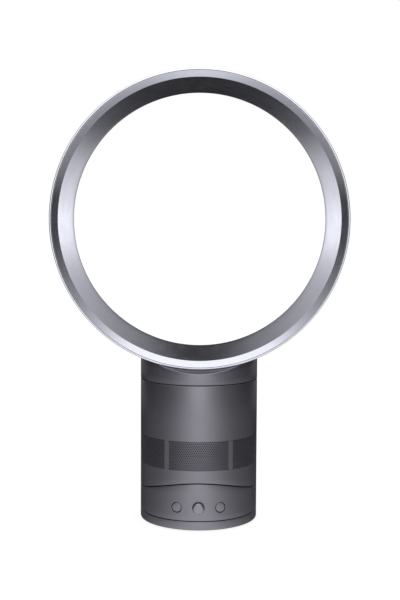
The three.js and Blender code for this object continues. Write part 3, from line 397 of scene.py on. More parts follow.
def plain_mesh(name, shapes):
    """One mesh in metres from (points, faces) shapes in millimetres, with faces turned out."""
    made = bmesh.new()
    for points, faces in shapes:
        corners = [made.verts.new(Vector(p) * MM) for p in points]
        for face in faces:
            made.faces.new([corners[i] for i in face])
    bmesh.ops.remove_doubles(made, verts=made.verts, dist=1e-6)
    bmesh.ops.recalc_face_normals(made, faces=made.faces)
    mesh = bpy.data.meshes.new(name)
    made.to_mesh(mesh)
    made.free()
    piece = bpy.data.objects.new(name, mesh)
    bpy.context.scene.collection.objects.link(piece)
    return piece


def cut_away(piece, shape):
    """Takes a closed shape out of a piece."""
    tool = plain_mesh("cutter", [shape])
    cut = piece.modifiers.new("cut", "BOOLEAN")
    cut.operation, cut.solver, cut.object = "DIFFERENCE", "EXACT", tool
    graph = bpy.context.evaluated_depsgraph_get()
    mesh = bpy.data.meshes.new_from_object(piece.evaluated_get(graph))
    piece.modifiers.clear()
    old, piece.data = piece.data, mesh
    bpy.data.meshes.remove(old)
    bpy.data.meshes.remove(tool.data)


def dress(piece, body, slot, *nodes, sharp=33):
    """Shades a piece, gives it its slot's look and puts it in the place of its CAD nodes."""
    piece.data.shade_smooth()
    piece.data.set_sharp_from_angle(angle=math.radians(sharp))
    piece.data.materials.clear()
    piece.data.materials.append(LOOKS[slot])
    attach(piece, body)
    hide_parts(*nodes)
    return piece


def soft_rim(top):
    """The rounded upper outer edge of a wall that ends at the height top(radius)."""
    rim, middle = top(BASE_RADIUS), BASE_RADIUS - RIM_EDGE * 0.5
    return [
        (BASE_RADIUS, rim - RIM_EDGE),
        (BASE_RADIUS - RIM_EDGE * IN_AT_30, rim - RIM_EDGE * 0.5),
        (middle, top(middle) - RIM_EDGE * IN_AT_30),
        (BASE_RADIUS - RIM_EDGE, top(BASE_RADIUS - RIM_EDGE)),
    ]


def soft_foot(bottom):
    """The rounded lower outer edge of a wall that starts at the height bottom(radius)."""
    low = bottom(BASE_RADIUS)
    return [
        (BASE_RADIUS - FOOT_EDGE, bottom(BASE_RADIUS - FOOT_EDGE)),
        (BASE_RADIUS - FOOT_EDGE * IN_AT_45, low + FOOT_EDGE * IN_AT_45),
        (BASE_RADIUS, low + FOOT_EDGE),
    ]


class Skin:
    """Points shared by name, and faces between them."""

    def __init__(self):
        self.points, self.faces, self.names = [], [], {}

    def point(self, name, where):
        if name not in self.names:
            self.names[name] = len(self.points)
            self.points.append(where)
        return self.names[name]

    def face(self, *corners):
        self.faces.append(corners)

    def join(self, first, second):
        """Quads between two closed loops of point numbers."""
        for i in range(len(first)):
            k = (i + 1) % len(first)
            self.face(first[i], first[k], second[k], second[i])

    def section(self, part, column, angle, profile):
        """Points of one upright section, from (radius, height) pairs."""
        return [
            self.point((part, column, k), upright(r, z, angle))
            for k, (r, z) in enumerate(profile)
        ]

    def close_band(self, grid, levels, column, rows):
        """Faces from a band's inner skin round its lower edge to the outer one, and back on top."""
        here, there = levels(column), levels(column + 1)
        for part, (start, row, end) in enumerate([("in", 0, "out"), ("out", rows, "in")]):
            left = [grid(start, column, row), *here[part], grid(end, column, row)]
            right = [grid(start, column + 1, row), *there[part], grid(end, column + 1, row)]
            for j in range(len(left) - 1):
                self.face(left[j], right[j], right[j + 1], left[j + 1])

    def shape(self):
        return self.points, self.faces


# ---------------------------------------------------------------- loop
def outer_skin(inset, steps):
    """Outside of the loop from its front edge to the roll at the back and round into the lip."""
    skin = [(LOOP_RADIUS - inset, LOOP_FRONT_Y)]
    for i in range(steps + 1):
        a = math.pi * i / steps
        y = ROLL_Y + (ROLL_LENGTH - inset) * math.sin(a)
        skin.append((ROLL_CENTRE + (ROLL_HALF - inset) * math.cos(a), y))
    return skin


def loop_outer():
    """The outer shell with its rolled back edge, its lip and the spacers that hold the slot open."""
    outside, inside = outer_skin(0, 32), outer_skin(LOOP_WALL, 20)
    lip_top = LIP_RADIUS + LIP_EDGE
    corners = [(*outside[0], 0.7)]
    corners += [(r, y, 0) for r, y in outside[1:]]
    corners += [(LIP_RADIUS, LIP_END_Y, 0.4), (lip_top, LIP_END_Y, 0.4)]
    corners += [(r, y, 0) for r, y in reversed(inside[1:])]
    corners += [(*inside[0], 0.4)]
    shapes = [lathe(rounded(corners), about_loop, FINE)]
    # across, along the loop's axis, and out from it
    spacer = (-2, 2, LIP_END_Y + 0.5, LIP_END_Y + 3.5, lip_top - 0.5, SLOT_RADIUS - FIT)
    for i in range(SPACERS):
        points, faces = block(*spacer)
        a = math.tau * i / SPACERS
        turned = [
            (x * math.cos(a) + r * math.sin(a), y, LOOP_AXIS_Z + r * math.cos(a) - x * math.sin(a))
            for x, y, r in points
        ]
        shapes.append((turned, faces))
    piece = plain_mesh("loop_outer", shapes)
    airway = (-AIRWAY_HALF_X, AIRWAY_HALF_X, -AIRWAY_HALF_Y, AIRWAY_HALF_Y)
    cut_away(piece, block(*airway, NECK_Z, LOOP_AXIS_Z - ROLL_CENTRE))
    return dress(piece, "loop", "loop_paint", "loop_outer_casing")


def loop_inner():
    """The tail in the slot, the curved throat, the flare in front of it and the bevel."""
    bevel_radius = LOOP_RADIUS - LOOP_WALL - FIT
    bevel_y = LOOP_FRONT_Y + BEVEL_DEPTH
    tail_y = LIP_END_Y + SLOT_OVERLAP
    bulge_y = LIP_END_Y - 1  # where the throat starts to curve in from the slot
    length, steps = THROAT_Y - bevel_y, 24
    gather = 1.6  # above 1, the steps lie closer together near the throat
    flare = (GUIDE_RADIUS - THROAT_RADIUS) / (math.hypot(length, THROAT_CURVE) - THROAT_CURVE)

    def wall(inset):
        made = [
            (SLOT_RADIUS + COANDA_RISE + inset, tail_y + SLOT_TAIL, 0.3),
            (SLOT_RADIUS + inset, tail_y, 0),
        ]
        for k in range(1, 7):
            a = math.radians(90) * k / 6
            turn = (SLOT_RADIUS - THROAT_RADIUS) * math.sin(a)
            depth = bulge_y - (bulge_y - THROAT_Y) * (1 - math.cos(a))
            made.append((SLOT_RADIUS - turn + inset, depth, 0))
        for k in range(1, steps):
            forward = length * (k / steps) ** gather
            rise = flare * (math.hypot(forward, THROAT_CURVE) - THROAT_CURVE)
            made.append((THROAT_RADIUS + rise + inset, THROAT_Y - forward, 0))
        return made

    face = [(GUIDE_RADIUS, bevel_y, 0.5), (bevel_radius, LOOP_FRONT_Y + FIT, 0.35)]
    back = [
        (bevel_radius, bevel_y + 2, 0.3),
        (bevel_radius - LOOP_WALL, bevel_y + 2, 0.3),
        (GUIDE_RADIUS + LOOP_WALL, bevel_y + LOOP_WALL / 2, 0.5),
    ]
    outline = rounded(wall(0) + face + back + wall(LOOP_WALL)[::-1], steps=8)
    piece = plain_mesh("loop_inner", [lathe(outline, about_loop, FINE)])
    return dress(piece, "loop", "loop_paint", "loop_inner_casing", sharp=50)


# ---------------------------------------------------------------- neck
def saddle_radius(y, gap):
    """Radius about the loop's axis of the surface that the loop sits in, at each depth."""
    flare = LOOP_RADIUS + NECK_TOP_DROP + gap
    reach = BASE_RADIUS + 10  # past the base on either side
    rim = [(-reach, flare), (LOOP_FRONT_Y, LOOP_RADIUS + gap), (ROLL_Y, BACK_RADIUS + gap)]
    for k in range(1, 9):
        a = math.radians(SADDLE_HOLD) * k / 8
        y_roll = ROLL_Y + (ROLL_LENGTH + gap) * math.sin(a)
        rim.append((y_roll, ROLL_CENTRE + (ROLL_HALF + gap) * math.cos(a)))
    rim.append((reach, flare))
    for (y0, r0), (y1, r1) in zip(rim, rim[1:]):
        if y <= y1:
            return r0 + (r1 - r0) * (y - y0) / (y1 - y0)


def neck():
    """The saddle under the loop, with the airway through it and the spigot under it."""
    skin = Skin()

    def top(radius, a, drop=0.0):
        x, y = radius * math.sin(a), -radius * math.cos(a)
        return LOOP_AXIS_Z - math.sqrt(saddle_radius(y, FIT) ** 2 - x**2) - drop

    def levels(a):
        """One section: the spigot, the outside, the rim, the saddle and back under it."""
        across, along = abs(math.sin(a)) / AIRWAY_HALF_X, abs(math.cos(a)) / AIRWAY_HALF_Y
        airway = (across**4 + along**4) ** -0.25
        rim = top(BASE_RADIUS, a)
        made = [
            (NECK_SPIGOT_INNER, NECK_Z - NECK_SPIGOT_DEPTH),
            (NECK_SPIGOT_RADIUS, NECK_Z - NECK_SPIGOT_DEPTH),
            (NECK_SPIGOT_RADIUS, NECK_Z),
            *soft_foot(lambda _: NECK_Z),
        ]
        low, high = NECK_Z + FOOT_EDGE, rim - RIM_EDGE
        made += [(BASE_RADIUS, low + (high - low) * t) for t in (0.33, 0.66, 1)]
        made += [
            (BASE_RADIUS - RIM_EDGE * IN_AT_30, rim - RIM_EDGE * 0.5),
            (BASE_RADIUS - RIM_EDGE * 0.5, rim - RIM_EDGE * IN_AT_30),
        ]
        edge = BASE_RADIUS - RIM_EDGE
        for t in (0, 0.1, 0.2, 0.3, 0.4, 0.5, 0.65, 0.8, 1):
            r = edge + (airway - edge) * t
            made.append((r, top(r, a)))
        for t in (1, 0.5, 0):
            r = CASE_INNER + (airway - CASE_INNER) * t
            made.append((r, top(r, a, BASE_WALL)))
        made += [(CASE_INNER, NECK_Z + BASE_WALL), (NECK_SPIGOT_INNER, NECK_Z + BASE_WALL)]
        return made

    loops = []
    for i in range(FINE):
        a = math.tau * i / FINE
        loops.append(skin.section("neck", i, a, levels(a)))
    for i in range(FINE):
        skin.join(loops[i], loops[(i + 1) % FINE])
    piece = plain_mesh("neck", [skin.shape()])
    return dress(piece, "loop", "body_paint", "neck_collar")


# ---------------------------------------------------------------- casing with its air inlet
def inlet_columns():
    """Angles of all columns of points, and each panel's first column and number of holes."""
    rest = (360 - FRONT_PANEL_ANGLE - STRUT_ANGLE * PANELS) / (PANELS - 1)
    columns, panels = [], []
    start = -FRONT_PANEL_ANGLE / 2
    for panel in range(PANELS):
        width = FRONT_PANEL_ANGLE if panel == 0 else rest
        holes = round(math.radians(width) * BASE_RADIUS / HOLE_PITCH)
        panels.append((len(columns), holes))
        columns += [start + width * i / (2 * holes) for i in range(2 * holes + 1)]
        columns.append(start + width + STRUT_ANGLE / 2)
        start += width + STRUT_ANGLE
    return [math.radians(c) for c in columns], panels


def body_casing():
    """The casing over the tilt line, with fine staggered holes in its inlet band."""
    columns, panels = inlet_columns()
    count = len(columns)
    skin = Skin()
    row_height = INLET_HEIGHT / HOLE_ROWS
    inlet_top = INLET_Z + INLET_HEIGHT
    radii = {"out": BASE_RADIUS, "in": CASE_INNER}

    def grid(side, column, row):
        """A point of the inlet band. Half rows are the middles of upright cell edges."""
        column %= count
        where = upright(radii[side], INLET_Z + row * row_height, columns[column])
        return skin.point((side, column, row), where)

    def levels(column):
        """The rest of the wall: from the band's foot on the inside, round the bottom and up."""
        column %= count
        a = columns[column]
        edge = soft_foot(lambda radius: tilt_level(SHOE_RADIUS, radius * math.cos(a)))
        low = edge[-1][1]
        foot = [
            (CASE_INNER, tilt_level(SHOE_RADIUS, CASE_INNER * math.cos(a))),
            *edge,
            (BASE_RADIUS, low + (INLET_Z - low) * 0.4),
            (BASE_RADIUS, low + (INLET_Z - low) * 0.8),
        ]
        head = [
            (BASE_RADIUS, inlet_top + 3),
            (BASE_RADIUS, inlet_top + 25),
            *soft_rim(lambda _: CASE_TOP_Z),
            (CASE_INNER, CASE_TOP_Z),
        ]
        return skin.section("foot", column, a, foot), skin.section("head", column, a, head)

    for c in range(count):
        skin.close_band(grid, levels, c, HOLE_ROWS)

    def hole(first, row):
        """One cell of the band: both skins round an eight-sided hole, and its wall."""
        rims = []
        for side, radius in radii.items():
            spots = [(0, 0), (1, 0), (2, 0), (2, 0.5), (2, 1), (1, 1), (0, 1), (0, 0.5)]
            cell = [grid(side, first + u, row + v) for u, v in spots]
            middle = columns[(first + 1) % count]
            z = INLET_Z + (row + 0.5) * row_height
            rim = []
            for k in range(8):
                a = math.radians(45 * k - 135)
                turn = middle + HOLE_RADIUS * math.cos(a) / BASE_RADIUS
                where = upright(radius, z + HOLE_RADIUS * math.sin(a), turn)
                rim.append(skin.point((side, "rim", first, row, k), where))
            skin.join(cell, rim)
            rims.append(rim)
        skin.join(*rims)

    # Every second row is shifted by half a cell, and the half cells at its ends stay closed.
    for first, holes in panels:
        last = first + 2 * holes
        for row in range(HOLE_ROWS):
            shift = row % 2
            for k in range(holes - shift):
                hole(first + shift + 2 * k, row)
            for side in radii:
                if shift:
                    for c, inward in ((first, 1), (last, -1)):
                        skin.face(
                            grid(side, c, row),
                            grid(side, c + inward, row),
                            grid(side, c + inward, row + 0.5),
                            grid(side, c + inward, row + 1),
                            grid(side, c, row + 1),
                        )
                for c in (last, last + 1):
                    strut = [grid(side, c, row), grid(side, c + 1, row)]
                    if not shift and c == last + 1:
                        strut.append(grid(side, c + 1, row + 0.5))
                    strut += [grid(side, c + 1, row + 1), grid(side, c, row + 1)]
                    if not shift and c == last:
                        strut.append(grid(side, c, row + 0.5))
                    skin.face(*strut)
    piece = plain_mesh("body_shell", [skin.shape()])
    return dress(piece, "main_body", "body_paint", "body_casing")


# ---------------------------------------------------------------- lower housing
CONTROLS = [(-BUTTON_ANGLE, BUTTON_RADIUS), (0, DIAL_RADIUS), (BUTTON_ANGLE, BUTTON_RADIUS)]


def lower_housing():
    """The housing under the tilt line, with a soft opening and a sleeve for each control."""
    apart = 24  # columns between one control and the next
    half = 8  # columns and rows from the middle of a control to the edge of its patch
    step = math.radians(BUTTON_ANGLE / apart)
    reach = apart + half
    rest = math.tau - 2 * reach * step
    behind = round(rest / step)
    columns = [step * (i - reach) for i in range(2 * reach)]
    columns += [step * reach + rest * i / behind for i in range(behind)]
    count, rows = len(columns), 2 * half
    row_height = step * BASE_RADIUS
    first_z = CONTROL_Z - half * row_height
    radii = {"out": BASE_RADIUS, "in": CASE_INNER}
    centres = [reach - apart, reach, reach + apart]
    skin = Skin()

    def grid(side, column, row):
        column %= count
        where = upright(radii[side], first_z + row * row_height, columns[column])
        return skin.point((side, column, row), where)

    def levels(column):
        """The rest of the wall: the floor and the lower edge, and the curved upper edge."""
        column %= count
        a = columns[column]
        rim = soft_rim(lambda radius: tilt_level(CRADLE_RADIUS, radius * math.cos(a)))
        low = first_z + rows * row_height
        foot = [
            (CASE_INNER, HOUSING_FLOOR_Z),
            (HOUSING_BORE, HOUSING_FLOOR_Z),
            (HOUSING_BORE, HOUSING_Z),
            *soft_foot(lambda _: HOUSING_Z),
        ]
        head = [
            (BASE_RADIUS, (low + rim[0][1]) / 2),
            *rim,
            (CASE_INNER, tilt_level(CRADLE_RADIUS, CASE_INNER * math.cos(a))),
        ]
        return skin.section("foot", column, a, foot), skin.section("head", column, a, head)

    for c in range(count):
        skin.close_band(grid, levels, c, rows)
        if any(m - half <= c < m + half for m in centres):
            continue
        for side in radii:
            for row in range(rows):
                low_edge = grid(side, c, row), grid(side, c + 1, row)
                skin.face(*low_edge, grid(side, c + 1, row + 1), grid(side, c, row + 1))

    for middle, (angle, cap_radius) in zip(centres, CONTROLS):
        place = along_spoke(angle, CONTROL_Z)
        border = [(-half + i, 0) for i in range(rows)] + [(half, i) for i in range(rows)]
        border += [(half - i, rows) for i in range(rows)] + [(-half, rows - i) for i in range(rows)]
        flat = [
            (BASE_RADIUS * math.sin(u * step), v * row_height + first_z - CONTROL_Z)
            for u, v in border
        ]
        turns = [math.atan2(t, s) for s, t in flat]

        def on_skin(radius, share, rim, tag):
            """A loop on a skin, a share of the way from the rim of a hole to its patch's edge."""
            made = []
            for (s, t), turn in zip(flat, turns):
                s1 = rim * math.cos(turn) + (s * radius / BASE_RADIUS - rim * math.cos(turn)) * share
                t1 = rim * math.sin(turn) + (t - rim * math.sin(turn)) * share
                where = place(s1, t1, math.sqrt(radius**2 - s1**2))
                made.append(skin.point((angle, tag, turn), where))
            return made

        def at_depth(rim, tag, depth=None, sunk=0.0):
            """A round loop at one depth, or a little under the outer skin."""
            made = []
            for turn in turns:
                s, t = rim * math.cos(turn), rim * math.sin(turn)
                level = math.sqrt(BASE_RADIUS**2 - s**2) - sunk if depth is None else depth
                made.append(skin.point((angle, tag, turn), place(s, t, level)))
            return made

        hole = cap_radius + (CAP_GAP if angle else DIAL_GAP)
        sleeve = hole + SLEEVE_WALL
        loops = [[grid("out", middle + u, v) for u, v in border]]
        loops += [
            on_skin(BASE_RADIUS, share, hole + HOLE_EDGE, f"out{share}")
            for share in (0.6, 0.25, 0)
        ]
        loops += [
            at_depth(hole + HOLE_EDGE * IN_AT_45, "lip", sunk=HOLE_EDGE * IN_AT_45),
            at_depth(hole, "wall", sunk=HOLE_EDGE),
            at_depth(hole, "end", depth=SLEEVE_END),
            at_depth(sleeve, "rim", depth=SLEEVE_END),
        ]
        loops += [on_skin(CASE_INNER, share, sleeve, f"in{share}") for share in (0, 0.5)]
        loops.append([grid("in", middle + u, v) for u, v in border])
        for first, second in zip(loops, loops[1:]):
            skin.join(first, second)
    piece = plain_mesh("control_housing", [skin.shape()])
    return dress(piece, "lower_body", "body_paint", "lower_housing")


def control_cap(name, angle, radius, front, chamfer, crown, stem_end, body, node):
    """A round cap with a slightly domed face, its retaining flange and its stem."""
    flange_front = SLEEVE_END - RUNNING
    flange_back = flange_front - CAP_FLANGE_THICKNESS
    corners = [
        (0, stem_end, 0),
        (STEM_RADIUS, stem_end, 0.3),
        (STEM_RADIUS, flange_back, 0.3),
        (radius + CAP_FLANGE, flange_back, 0.3),
        (radius + CAP_FLANGE, flange_front, 0.3),
        (radius, flange_front, 0.3),
        (radius, front - chamfer, 0.35),
        (radius - chamfer, front - crown, 0.5),
        (radius * 0.5, front - crown * 0.22, 0),
        (0, front, 0),
    ]
    shape = lathe(rounded(corners), about_spoke(angle, CONTROL_Z), CAP_FACETS)
    return dress(plain_mesh(name, [shape]), body, "control_cap", node)


def button_cap(name, angle, body, node):
    form = BUTTON_RADIUS, BASE_RADIUS, BUTTON_CHAMFER, BUTTON_CROWN, BUTTON_STEM_END
    return control_cap(name, angle, *form, body, node)


def dial_cap():
    form = DIAL_RADIUS, BASE_RADIUS + DIAL_STAND_OUT, DIAL_CHAMFER, DIAL_CROWN, DIAL_STEM_END
    return control_cap("dial_cap", 0, *form, "dial", "speed_dial")


# ---------------------------------------------------------------- foot
GLAND_Z = (FOOT_FLOOR_Z + FOOT_TOP_Z) / 2


def foot():
    """The foot with its ledge for the glide ring, its post and spigot, and the lead's hole."""
    corners = [
        (0, FOOT_Z, 0),
        (BASE_RADIUS, FOOT_Z, BOTTOM_EDGE),
        (BASE_RADIUS, FOOT_TOP_Z, RIM_EDGE),
        (CASE_INNER, FOOT_TOP_Z, 0.3),
        (CASE_INNER, FOOT_FLOOR_Z, 0),
        (LEDGE_OUTER, FOOT_FLOOR_Z, 0),
        (LEDGE_OUTER, LEDGE_Z, 0.3),
        (LEDGE_INNER, LEDGE_Z, 0.3),
        (LEDGE_INNER, FOOT_FLOOR_Z, 0),
        (POST_RADIUS, FOOT_FLOOR_Z, 0),
        (POST_RADIUS, POST_Z, 0.3),
        (FOOT_SPIGOT_RADIUS, POST_Z, 0),
        (FOOT_SPIGOT_RADIUS, CLIP_GROOVE_Z, 0),
        (CLIP_GROOVE_RADIUS, CLIP_GROOVE_Z, 0),
        (CLIP_GROOVE_RADIUS, CLIP_GROOVE_Z + CLIP_GROOVE_HEIGHT, 0),
        (FOOT_SPIGOT_RADIUS, CLIP_GROOVE_Z + CLIP_GROOVE_HEIGHT, 0),
        (FOOT_SPIGOT_RADIUS, FOOT_SPIGOT_Z, 0.4),
        (FOOT_SPIGOT_BORE, FOOT_SPIGOT_Z, 0.2),
        (FOOT_SPIGOT_BORE, FOOT_FLOOR_Z, 0),
        (0, FOOT_FLOOR_Z, 0),
    ]
    piece = plain_mesh("foot_ring", [lathe(rounded(corners, 5), upright, FINE)])
    hole, start, end = GLAND_RADIUS + FIT, CASE_INNER - 5, BASE_RADIUS + 5
    drill = [(0, start), (hole, start), (hole, end), (0, end)]  # through the wall at the back
    cut_away(piece, lathe(drill, about_spoke(180, GLAND_Z), SMALL_FACETS))
    return dress(piece, "foot", "body_paint", "foot_shell")


def cable_bush():
    """The rubber grommet in the foot's hole."""
    end = BASE_RADIUS - FIT
    start = end - GLAND_LENGTH
    corners = [
        (GLAND_BORE, start, 0.3),
        (GLAND_RADIUS, start, 0.3),
        (GLAND_RADIUS, end, 0.5),
        (GLAND_BORE, end, 0.4),
    ]
    shape = lathe(rounded(corners), about_spoke(180, GLAND_Z), SMALL_FACETS)
    return dress(plain_mesh("cable_bush", [shape]), "foot", "rubber", "cable_gland")


def rubber_pad(number):
    """One pad under the foot, in the place of the nearest pad of the CAD."""
    turn = math.radians(360 / PAD_COUNT * number)
    x, y = PAD_CIRCLE * math.sin(turn), -PAD_CIRCLE * math.cos(turn)
    corners = [(0, 0, 0), (PAD_RADIUS, 0, 0.5), (PAD_RADIUS, PAD_HEIGHT, 0.3), (0, PAD_HEIGHT, 0)]

    def place(r, z, a):
        return (x + r * math.cos(a), y + r * math.sin(a), z)

    def distance(node):
        middle = sum(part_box(node), Vector((0, 0, 0))) / 2
        return (middle.xy - Vector((x, y)) * MM).length

    nearest = min((n for n in frame["nodes"] if n.startswith("rubber_foot_")), key=distance)
    piece = plain_mesh(f"rubber_pad_{number + 1}", [lathe(rounded(corners), place, SMALL_FACETS)])
    return dress(piece, "foot", "rubber", nearest)


# ---------------------------------------------------------------- making the pieces
loop_outer()
loop_inner()
neck()
body_casing()
lower_housing()
foot()
cable_bush()
for number in range(PAD_COUNT):
    rubber_pad(number)
button_cap("power_cap", -BUTTON_ANGLE, "power_key", "power_button")
dial_cap()
button_cap("swing_cap", BUTTON_ANGLE, "oscillation_key", "oscillation_button")


# ---------------------------------------------------------------- stage, with lengths in metres
FLOOR_SIZE = 30
FLOOR_COLOUR = 0.95
FLOOR_GLOW = 1.15
FLOOR_GLOW_SHARE = 0.75  # of what the camera sees of the floor; the rest is lit and shadowed
CARD_REACH = 1.5  # from the middle to either side
CARD_HEIGHT = 4.6
FRONT_CARD_Y = -2.2
SIDE_CARDS_FROM_Y, BACK_CARD_Y = -2.25, 1.65
DARK_GROUND_FROM_Y = 0.6
GROUND_CARD_Z, DARK_GROUND_Z = 0.002, 0.004
LAMP_SIZE = 2.4, 1.8
LAMP_PLACE, LAMP_AIM = (0, -0.5, 2.3), (0, 0, 0.3)
LAMP_RADIANCE = 0.38
WORLD_LIGHT = 0.8


def stage_plane(name, size, centre, facing, seen_by_camera):
    """A flat card or floor, turned to face a direction."""
    w, h = size[0] / 2, size[1] / 2
    mesh = bpy.data.meshes.new(name)
    mesh.from_pydata([(-w, -h, 0), (w, -h, 0), (w, h, 0), (-w, h, 0)], [], [(0, 1, 2, 3)])
    card = bpy.data.objects.new(name, mesh)
    bpy.context.scene.collection.objects.link(card)
    card.location = centre
    card.rotation_mode = "QUATERNION"
    card.rotation_quaternion = Vector(facing).to_track_quat("Z", "Y")
    if not seen_by_camera:
        card.visible_camera = card.visible_diffuse = card.visible_shadow = False
        card.visible_transmission = card.visible_volume_scatter = False
    return card


def floor_material():
    """A pale floor that shows soft shadows and runs out into the white background."""
    material = bpy.data.materials.new("floor")
    material.use_nodes = True
    tree = material.node_tree
    tree.nodes.clear()
    out = tree.nodes.new("ShaderNodeOutputMaterial")
    paint = tree.nodes.new("ShaderNodeBsdfDiffuse")
    glow = tree.nodes.new("ShaderNodeEmission")
    mix = tree.nodes.new("ShaderNodeMixShader")
    path = tree.nodes.new("ShaderNodeLightPath")
    share = tree.nodes.new("ShaderNodeMath")
    share.operation = "MULTIPLY"
    share.inputs[1].default_value = FLOOR_GLOW_SHARE
    socket(paint, "Color", (FLOOR_COLOUR, FLOOR_COLOUR, FLOOR_COLOUR, 1))
    socket(glow, "Color", (1, 1, 1, 1))
    socket(glow, "Strength", FLOOR_GLOW)
    tree.links.new(path.outputs["Is Camera Ray"], share.inputs[0])
    tree.links.new(share.outputs[0], mix.inputs["Fac"])
    tree.links.new(paint.outputs[0], mix.inputs[1])
    tree.links.new(glow.outputs[0], mix.inputs[2])
    tree.links.new(mix.outputs[0], out.inputs["Surface"])
    return material


class Card:
    """An even card whose brightness follows ramps over its own coordinates."""

    def __init__(self, name):
        self.name = name
        self.material = bpy.data.materials.new(name)
        self.material.use_nodes = True
        self.tree = self.material.node_tree
        self.tree.nodes.clear()
        place = self.tree.nodes.new("ShaderNodeTexCoord").outputs["Object"]
        split = self.tree.nodes.new("ShaderNodeSeparateXYZ")
        self.tree.links.new(place, split.inputs[0])
        self.x, self.y = split.outputs["X"], split.outputs["Y"]

    def math(self, operation, first, second=None):
        made = self.tree.nodes.new("ShaderNodeMath")
        made.operation = operation
        for source, target in zip((first, second), made.inputs):
            if isinstance(source, (int, float)):
                target.default_value = source
            elif source:
                self.tree.links.new(source, target)
        return made.outputs[0]

    def across(self):
        return self.math("ABSOLUTE", self.x)

    def up(self):
        return self.math("ABSOLUTE", self.y)

    def round(self):
        """Half turns from the front, to either side. A floor card's own Y points forward."""
        turn = self.math("ARCTAN2", self.across(), self.y)
        return self.math("DIVIDE", turn, math.pi)

    def ramp(self, value, stops):
        """Brightness along a value: stops are (place, level), and level past the last one."""
        reach = stops[-1][0]
        top = max(level for _, level in stops)
        made = self.tree.nodes.new("ShaderNodeValToRGB")
        band = made.color_ramp
        while len(band.elements) < len(stops):
            band.elements.new(0.5)
        for element, (at, level) in zip(band.elements, stops):
            element.position = at / reach
            element.color = (level / top, level / top, level / top, 1)
        self.tree.links.new(self.math("DIVIDE", value, reach), made.inputs["Fac"])
        return self.math("MULTIPLY", made.outputs["Color"], top)

    def put_up(self, strength, size, centre, facing):
        """Makes the card itself, which shows only in reflections."""
        glow = self.tree.nodes.new("ShaderNodeEmission")
        self.tree.links.new(strength, glow.inputs["Strength"])
        out = self.tree.nodes.new("ShaderNodeOutputMaterial")
        self.tree.links.new(glow.outputs[0], out.inputs["Surface"])
        stage_plane(self.name, size, centre, facing, False).data.materials.append(self.material)


floor = stage_plane("floor", (FLOOR_SIZE, FLOOR_SIZE), (0, 0, 0), (0, 0, 1), True)
floor.data.materials.append(floor_material())


# The cards show only in reflections, as a studio's black and white boards do.
def ground_card():
    """Bright in front of the base and close behind it, and dark to its sides."""
    card = Card("ground_card")
    turn = [
        (0, 0.95), (0.08, 0.9), (0.17, 0.66), (0.28, 0.42),
        (0.39, 0.27), (0.5, 0.24), (0.8, 0.17), (1, 0.7),
    ]
    forward = [(0, 0.1), (1.05, 0.1), (1.25, 1), (2.2, 1), (2.55, 1.2), (3, 1.5)]
    sides = [(0, 1), (0.8, 1.05), (1.2, 0.8), (1.5, 0.6)]
    from_back = card.math("ADD", card.y, CARD_REACH)
    strength = card.math("MULTIPLY", card.ramp(card.round(), turn), card.ramp(card.across(), sides))
    strength = card.math("MULTIPLY", strength, card.ramp(from_back, forward))
    card.put_up(strength, (2 * CARD_REACH, 2 * CARD_REACH), (0, 0, GROUND_CARD_Z), (0, 0, 1))


def front_card():
    """Bright in the middle, for the front of the base and the lower bevel."""
    card = Card("front_card")
    sides = [(0, 1), (0.3, 0.95), (0.5, 0.8), (0.8, 0.4), (1.2, 0.1), (1.5, 0.05)]
    levels = [(0, 1.2), (0.4, 1.3), (0.7, 1.7), (2.3, 1.7)]
    strength = card.math("MULTIPLY", card.ramp(card.across(), sides), card.ramp(card.up(), levels))
    card.put_up(strength, (2 * CARD_REACH, CARD_HEIGHT), (0, FRONT_CARD_Y, 0), (0, 1, 0))


def back_cards():
    """A dark middle between two bright ends, which the flare of the loop mirrors at its sides."""
    low = Card("back_ground_card")
    stops = [(0, 0.02), (0.2, 0.04), (0.4, 0.12), (0.57, 0.36), (0.7, 0.5), (0.8, 0.6), (1.5, 0.6)]
    depth, middle = BACK_CARD_Y - DARK_GROUND_FROM_Y, (BACK_CARD_Y + DARK_GROUND_FROM_Y) / 2
    strength = low.ramp(low.across(), stops)
    low.put_up(strength, (2 * CARD_REACH, depth), (0, middle, DARK_GROUND_Z), (0, 0, 1))
    high = Card("back_card")
    sides = [
        (0, 0.035), (0.2, 0.1), (0.3, 0.34), (0.42, 0.42),
        (0.57, 0.58), (0.7, 0.85), (0.8, 1), (1.5, 1),
    ]
    levels = [
        (0, 0.85), (0.12, 0.95), (0.25, 1.15), (0.35, 1.5),
        (0.5, 1.45), (0.62, 0.85), (0.8, 0.6), (2.3, 0.6),
    ]
    strength = high.math("MULTIPLY", high.ramp(high.across(), sides), high.ramp(high.up(), levels))
    high.put_up(strength, (2 * CARD_REACH, CARD_HEIGHT), (0, BACK_CARD_Y, 0), (0, -1, 0))


def side_cards():
    """Dark beside the object, and brighter towards the top."""
    stops = [(0, 0.04), (0.5, 0.05), (0.77, 0.12), (1.24, 0.3), (1.87, 0.62), (2.3, 0.8)]
    size = (BACK_CARD_Y - SIDE_CARDS_FROM_Y, CARD_HEIGHT)
    middle = (BACK_CARD_Y + SIDE_CARDS_FROM_Y) / 2
    for side, word in ((-1, "left"), (1, "right")):
        card = Card(f"{word}_card")
        strength = card.ramp(card.up(), stops)
        card.put_up(strength, size, (side * CARD_REACH, middle, 0), (-side, 0, 0))


ground_card()
front_card()
back_cards()
side_cards()


